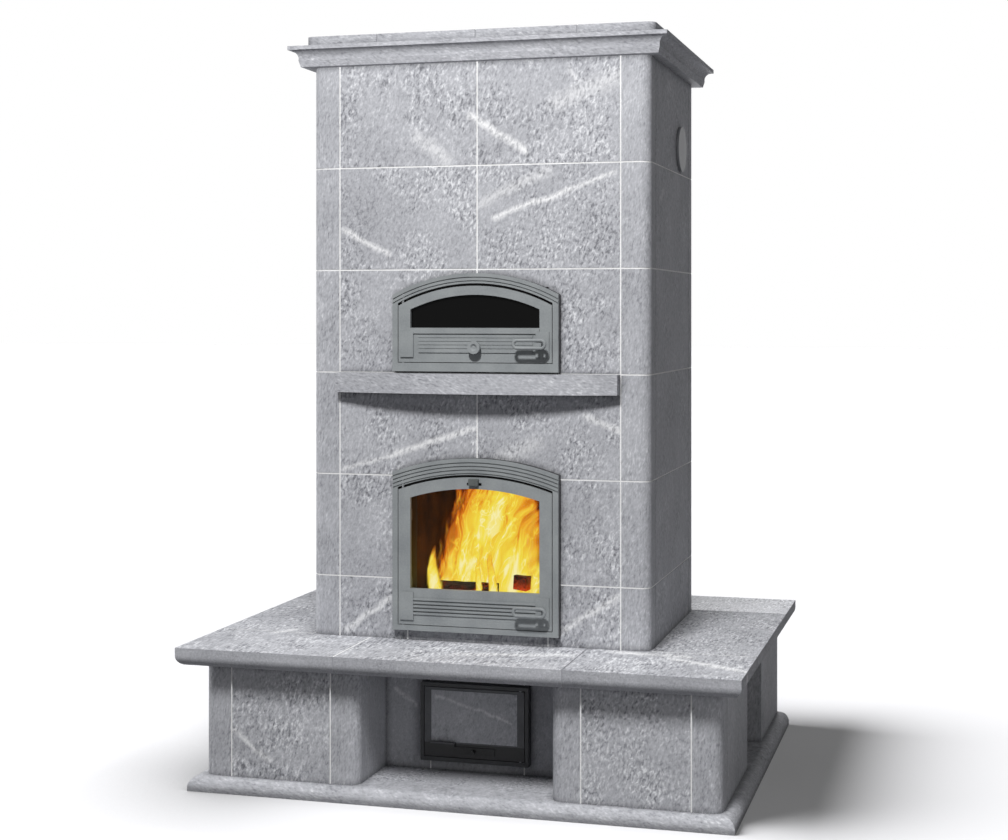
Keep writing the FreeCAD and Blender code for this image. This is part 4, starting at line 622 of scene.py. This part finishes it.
def burningGas(look):
    finish, tree = newFinish(look["name"])
    form = flameForm
    place = put(tree, "TexCoord").outputs["Object"]
    apart = put(tree, "SeparateXYZ", {"Vector": place})
    up = put(tree, "Math", {0: apart.outputs["Z"], 1: -form["foot"]}, operation="ADD")
    sway = put(tree, "TexNoise", {"Vector": place, "Scale": mmInM / form["swayMm"], "Detail": 1.0})
    sway = put(tree, "Math", {0: sway, 1: form["sway"], 2: -noiseMean * form["sway"]},
               operation="MULTIPLY_ADD")
    swayed = put(tree, "Math", {0: apart.outputs["X"], 1: sway}, operation="ADD")
    upright = put(tree, "Math", {0: up, 1: -form["lean"], 2: swayed}, operation="MULTIPLY_ADD")
    drift = put(tree, "Math", {0: up, 1: -form["drift"], 2: swayed}, operation="MULTIPLY_ADD")
    slow = put(tree, "Math", {0: up, 1: form["drawn"], 2: look["shift"]}, operation="MULTIPLY_ADD")
    drawn = put(tree, "CombineXYZ", {"X": drift, "Y": look["shift"], "Z": slow})
    streaks = put(tree, "TexNoise", {"Vector": drawn, "Scale": mmInM / form["streakMm"], "Detail": 4.0,
                                     "Roughness": 0.6, "Distortion": 0.7})
    threads = put(tree, "TexNoise", {"Vector": drawn, "Scale": mmInM / form["wispMm"], "Detail": 2.0,
                                     "Distortion": 1.2})
    wisps = put(tree, "Math", {0: threads, 1: noiseMean}, operation="SUBTRACT")
    wisps = put(tree, "Math", {0: wisps}, operation="ABSOLUTE")
    wisps = put(tree, "MapRange", {"Value": wisps, "From Min": form["wispWide"], "From Max": 0.0,
                                   "To Max": form["wispHeat"]})
    # the fire's left edge leans to the right as it rises, and its foot is the hottest
    wall = put(tree, "MapRange", {"Value": upright, "From Min": look["left"] - look["reach"],
                                  "From Max": look["left"] + form["edge"], "To Min": look["least"],
                                  "To Max": form["inside"]})
    foot = put(tree, "Math", {0: up, 1: -form["cooling"], 2: look["bright"]}, operation="MULTIPLY_ADD")
    ragged = put(tree, "Math", {0: streaks, 1: form["ragged"], 2: -noiseMean * form["ragged"]},
                 operation="MULTIPLY_ADD")
    heat = wall
    for more in (foot, wisps, ragged):
        heat = put(tree, "Math", {0: heat, 1: more}, operation="ADD")
    # each tongue is hottest along its middle and thins out towards its sides and its tip
    spread = put(tree, "SeparateXYZ", {"Vector": put(tree, "TexCoord").outputs["UV"]})
    across = put(tree, "Math", {0: spread.outputs["X"], 1: form["middle"]}, operation="PINGPONG")
    across = put(tree, "MapRange", {"Value": across, "From Max": form["sides"]},
                 interpolation_type="SMOOTHSTEP")
    tip = put(tree, "MapRange", {"Value": spread.outputs["Y"], "From Min": 1.0, "From Max": form["tip"]})
    core = put(tree, "Math", {0: across, 1: tip}, operation="MULTIPLY")
    heat = put(tree, "Math", {0: core, 1: form["core"], 2: heat}, operation="MULTIPLY_ADD")
    heat = put(tree, "Math", {0: heat, 1: form["core"]}, operation="SUBTRACT")
    colour = put(tree, "ValToRGB", {"Fac": heat}, stops=graded(flameTones))
    thick = put(tree, "ValToRGB", {"Fac": heat}, stops=[(0.0, 0.0), (form["thickAt"], 1.0)])
    torn = put(tree, "Math", {0: streaks, 1: form["torn"], 2: core}, operation="MULTIPLY_ADD")
    torn = put(tree, "MapRange", {"Value": torn, "From Min": form["tornFrom"], "From Max": form["tornTo"]})
    solid = put(tree, "Math", {0: torn, 1: thick}, operation="MULTIPLY")
    shine = put(tree, "Emission", {"Color": colour, "Strength": 1.0})
    close(tree, put(tree, "MixShader", {0: solid, 1: put(tree, "BsdfTransparent"), 2: shine}))
    return finish


def ribbon(flame, finish):  # a strip along the flame's spine that bulges to the front
    strips = flameForm["strips"]
    build = bmesh.new()
    cover = build.loops.layers.uv.new("UVMap")
    rows = []
    for i, (x, z, half) in enumerate(flame["spine"]):
        along = i / (len(flame["spine"]) - 1)
        row = []
        for k in range(strips + 1):
            side = 2 * k / strips - 1  # from the left edge to the right one
            spot = (x + half * side, flame["deep"] - half * flameForm["bulge"] * (1 - side ** 2), z)
            row.append((build.verts.new(spot), (k / strips, along)))
        rows.append(row)
    for low, high in zip(rows, rows[1:]):
        for k in range(strips):
            corners = [low[k], low[k + 1], high[k + 1], high[k]]
            face = build.faces.new([corner[0] for corner in corners])
            face.smooth = True
            for loop, corner in zip(face.loops, corners):
                loop[cover].uv = corner[1]
    made(flame["name"], build, finish, "heater")


burning = {name: burningGas(look) for name, look in flameLooks.items()}
for flame in flames:
    ribbon(flame, burning[flame["look"]])
print("fire laid")


def plate(name, low, high, edge, finish, body):  # thin plate with rounded edges between two corners
    build = bmesh.new()
    bmesh.ops.create_cube(build, size=1.0)
    size = Matrix.Diagonal((*(Vector(high) - Vector(low)), 1))
    middle = Matrix.Translation((Vector(low) + Vector(high)) / 2)
    bmesh.ops.transform(build, matrix=middle @ size, verts=build.verts)
    bmesh.ops.bevel(build, geom=build.edges, offset=edge, segments=2, affect="EDGES")
    return made(name, build, finish, body)


# Thin blued steel behind the fire door's air tab: it closes the slot at rest and opens one end when pushed
slideLook = {"name": "tabSlide", "half": 0.023, "low": 0.8385, "top": 0.8478, "thick": 0.0012, "edge": 0.0003}
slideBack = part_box("fire_leaf")[1][1]
plate(slideLook["name"], (-slideLook["half"], slideBack, slideLook["low"]),
      (slideLook["half"], slideBack + slideLook["thick"], slideLook["top"]), slideLook["edge"],
      paintedIron({**blackPaint, "name": "sheetSteelBlued"}), "fire_tab")

# Pointing between the cap slabs, a little behind their faces
capJoint = {"name": "capJoint", "places": (-0.29, 0.0, 0.29), "half": 0.0019, "back": 0.0015, "edge": 0.0003}
capNear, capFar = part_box("cap_slabs")
for i, x in enumerate(capJoint["places"]):
    low = (x - capJoint["half"], capNear[1] + capJoint["back"], capLow)
    high = (x + capJoint["half"], capFar[1] - capJoint["back"], capFar[2] - capJoint["back"])
    plate(f"{capJoint['name']}{i}", low, high, capJoint["edge"], mortar, "heater")

# Pointing of the seat, struck flush with its top, where the glue shows white
seatJoint = {"name": "seatJoint", "half": 0.0019, "under": 0.00095, "over": 0.0001, "edge": 0.0001,
             "runs": [  # start and end in X and Y
                 ((-seatSplit, -0.6245), (-seatSplit, -0.3265)), ((-0.774, -0.3225), (-0.492, -0.3225)),
                 ((0.492, -0.3225), (0.774, -0.3225))]}
seatJoints = []
for i, (start, end) in enumerate(seatJoint["runs"]):
    along = start[1] == end[1]  # along X
    wide = (0, seatJoint["half"]) if along else (seatJoint["half"], 0)
    low = (start[0] - wide[0], start[1] - wide[1], seatTop - seatJoint["under"])
    high = (end[0] + wide[0], end[1] + wide[1], seatTop - seatJoint["over"])
    seatJoints.append(plate(f"{seatJoint['name']}{i}", low, high, seatJoint["edge"], mortar, "heater"))

# Cast edges are never sharp: the mould rounds them a little
castEdges = {"width": 0.0012, "steps": 2, "from": math.radians(35), "join": 0.00002}
castNames = ["fire_frame", "fire_leaf", "oven_frame", "oven_leaf", "oven_slide", "ash_frame", "ash_leaf",
             "fire_tab"]
for name in castNames:
    join = nodes[name].modifiers.new("joinFaces", "WELD")
    join.merge_threshold = castEdges["join"]
    soften = nodes[name].modifiers.new("softEdges", "BEVEL")
    soften.width = castEdges["width"]
    soften.segments = castEdges["steps"]
    soften.limit_method = "ANGLE"
    soften.angle_limit = castEdges["from"]
    nodes[name].modifiers.new("evenShade", "WEIGHTED_NORMAL")
print("trim fitted and edges rounded")

# Pale studio floor, lit by a soft lamp of its own, so that the heater's shadow stays soft
studio = {"floorHalf": 60.0, "floor": "#CBCBCD", "floorGlow": 0.1, "bounce": "#626264", "sky": 0.10,
          "nearby": 0.5, "shut": 0.5, "contact": 0.3, "shadeFrom": -0.15, "shadeTo": -0.8, "shadowTop": 0.45}


def seenRays(tree):  # 1 for what the camera sees, straight or in glass and metal, and 0 for bounced light
    rays = put(tree, "LightPath")
    seen = put(tree, "Math", {0: rays.outputs["Is Camera Ray"], 1: rays.outputs["Is Glossy Ray"]},
               operation="ADD")
    return put(tree, "Math", {0: seen, 1: rays.outputs["Is Transmission Ray"]}, operation="ADD",
               use_clamp=True)


def studioFloor():
    mesh = bpy.data.meshes.new("studioFloor")
    half = studio["floorHalf"]
    corners = [(-half, -half, 0), (half, -half, 0), (half, half, 0), (-half, half, 0)]
    mesh.from_pydata(corners, [], [(0, 1, 2, 3)])
    floor = bpy.data.objects.new("studioFloor", mesh)
    bpy.context.scene.collection.objects.link(floor)
    finish, tree = newFinish("studioFloorPale")
    seen = seenRays(tree)
    colour = put(tree, "Mix", {0: seen, 6: tone(studio["bounce"]), 7: tone(studio["floor"])},
                 data_type="RGBA")
    # less light reaches the floor close to the plinth, most of all on the left
    paintedShade = put(tree, "AmbientOcclusion", {"Distance": studio["nearby"]}, samples=16).outputs["AO"]
    paintedShade = put(tree, "MapRange", {"Value": paintedShade, "From Min": studio["shut"], "To Min": studio["contact"]})
    across = put(tree, "SeparateXYZ", {"Vector": put(tree, "TexCoord").outputs["Object"]}).outputs["X"]
    shade = put(tree, "MapRange", {"Value": across, "From Min": studio["shadeFrom"],
                                   "From Max": studio["shadeTo"]}, interpolation_type="SMOOTHSTEP")
    colour = put(tree, "Mix", {0: shade, 6: colour, 7: paintedShade}, data_type="RGBA", blend_type="MULTIPLY")
    lit = put(tree, "BsdfDiffuse", {"Color": colour})
    level = put(tree, "Math", {0: seen, 1: studio["floorGlow"]}, operation="MULTIPLY")
    close(tree, put(tree, "AddShader", {0: lit, 1: put(tree, "Emission", {"Strength": level})}))
    mesh.materials.append(finish)
    floor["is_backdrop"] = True
    return floor


def studioSky():
    world = bpy.data.worlds.new("studioSky")
    bpy.context.scene.world = world
    world.use_nodes = True
    tree = world.node_tree
    tree.nodes.clear()
    level = put(tree, "Math", {0: seenRays(tree), 1: 1 - studio["sky"], 2: studio["sky"]},
                operation="MULTIPLY_ADD")
    put(tree, "OutputWorld", {"Surface": put(tree, "Background", {"Color": (1, 1, 1, 1), "Strength": level})})


floor = studioFloor()
studioSky()


def named(*starts):
    return [piece for name, piece in nodes.items() if name.startswith(starts)]


# What each lamp lights, and what shades it
seatPieces = named("bench", "plinth") + seatJoints
stepPieces = named("front_panels", "corner_posts", "inner_posts", "niche", "ash", "plinth", "bench")
stepPieces += seatJoints
doorPieces = named("fire_frame", "fire_leaf", "fire_handle", "fire_tab", "oven_frame", "oven_leaf",
                   "oven_handle", "oven_slide")
otherPieces = [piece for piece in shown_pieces() if piece not in stepPieces + doorPieces]
shadePieces = named("front_panels", "corner_posts", "inner_posts", "niche", "ash", "plinth", "side_walls",
                    "wood_niche_walls", "joint_mortar")
leftPieces = named("left_side_slabs", "side_walls", "wood_niche_walls", "front_corner_stones",
                   "back_corner_stones", "plinth_sides", "corner_posts", "cornice_returns", "joint_mortar",
                   "bench_sides", "bench_front_left", "bench_back", "base_core")
backPieces = named("back", "bench_back", "base_core", "flue_collar", "cornice_returns", "cap_slabs",
                   "side_walls", "plinth_sides", "plinth_floor", "joint_mortar")
castPieces = [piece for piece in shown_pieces() if piece not in named("cornice")]  # the key passes the cornice
lowPieces = [piece for name, piece in nodes.items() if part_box(name)[1][2] < studio["shadowTop"]]

# The key lamp stands in front and above, near enough to fall off towards the floor
lamps = [
    {"name": "keyLamp", "place": (0.2, -3.6, 3.5), "aim": (0, -0.4, 0.95), "wide": 0.8, "watts": 162,
     "lit": otherPieces, "shading": castPieces},
    {"name": "lowLamp", "place": (0.2, -2.9, 3.85), "aim": (0, -0.5, 0.3), "wide": 1.2, "watts": 185,
     "lit": stepPieces},
    {"name": "doorLamp", "place": (0.4, -4.2, 4.6), "aim": (0, -0.4, 0.9), "wide": 0.5, "watts": 285,
     "lit": doorPieces},
    {"name": "topLamp", "place": (0.5, -1.4, 4.3), "aim": (0.1, -0.4, 0.4), "wide": 1.2, "watts": 32,
     "lit": seatPieces},
    {"name": "fillLamp", "place": (3.0, -3.6, 1.1), "aim": (0.2, -0.5, 0.2), "wide": 2.0, "watts": 18,
     "lit": shadePieces},
    {"name": "leftLamp", "place": (-4.4, 0.0, 1.0), "aim": (-0.4, 0.0, 0.9), "wide": 2.0, "watts": 90,
     "lit": leftPieces},
    {"name": "backLamp", "place": (-0.3, 4.6, 1.9), "aim": (0.0, 0.4, 0.9), "wide": 2.0, "watts": 100,
     "lit": backPieces},
]
floorLamp = {"name": "floorLamp", "place": (-1.0, -0.4, 1.0), "aim": (0, 0, 0), "soft": math.radians(48),
             "strength": 6.9, "lit": [floor], "shading": lowPieces}


def linked(name, things):
    group = bpy.data.collections.new(name)
    for thing in things:
        group.objects.link(thing)
    return group


def aimed(lamp, kind):
    light = bpy.data.lights.new(lamp["name"], kind)
    thing = bpy.data.objects.new(lamp["name"], light)
    thing.location = lamp["place"]
    thing.rotation_euler = (Vector(lamp["aim"]) - Vector(lamp["place"])).to_track_quat("-Z", "Y").to_euler()
    bpy.context.scene.collection.objects.link(thing)
    thing.light_linking.receiver_collection = linked("litBy" + lamp["name"], lamp["lit"])
    if "shading" in lamp:
        thing.light_linking.blocker_collection = linked("shading" + lamp["name"], lamp["shading"])
    return light


for lamp in lamps:
    soft = aimed(lamp, "AREA")
    soft.shape = "DISK"
    soft.size = lamp["wide"]
    soft.energy = lamp["watts"]
low = aimed(floorLamp, "SUN")
low.angle = floorLamp["soft"]
low.energy = floorLamp["strength"]

# Camera of the photograph: level, standing to the right, lowered by lens shift
cameraLook = {"place": (1.373, -4.9425, 1.320), "turn": 15.69, "lens": 61.6, "shift": -0.1064}
eye = bpy.data.cameras.new("photoCamera")
eye.lens = cameraLook["lens"]
eye.shift_y = cameraLook["shift"]
camera = bpy.data.objects.new("photoCamera", eye)
camera.location = cameraLook["place"]
camera.rotation_euler = (math.radians(90), 0, math.radians(cameraLook["turn"]))
bpy.context.scene.collection.objects.link(camera)
bpy.context.scene.camera = camera
bpy.context.scene.view_settings.view_transform = "Standard"
print("studio set")
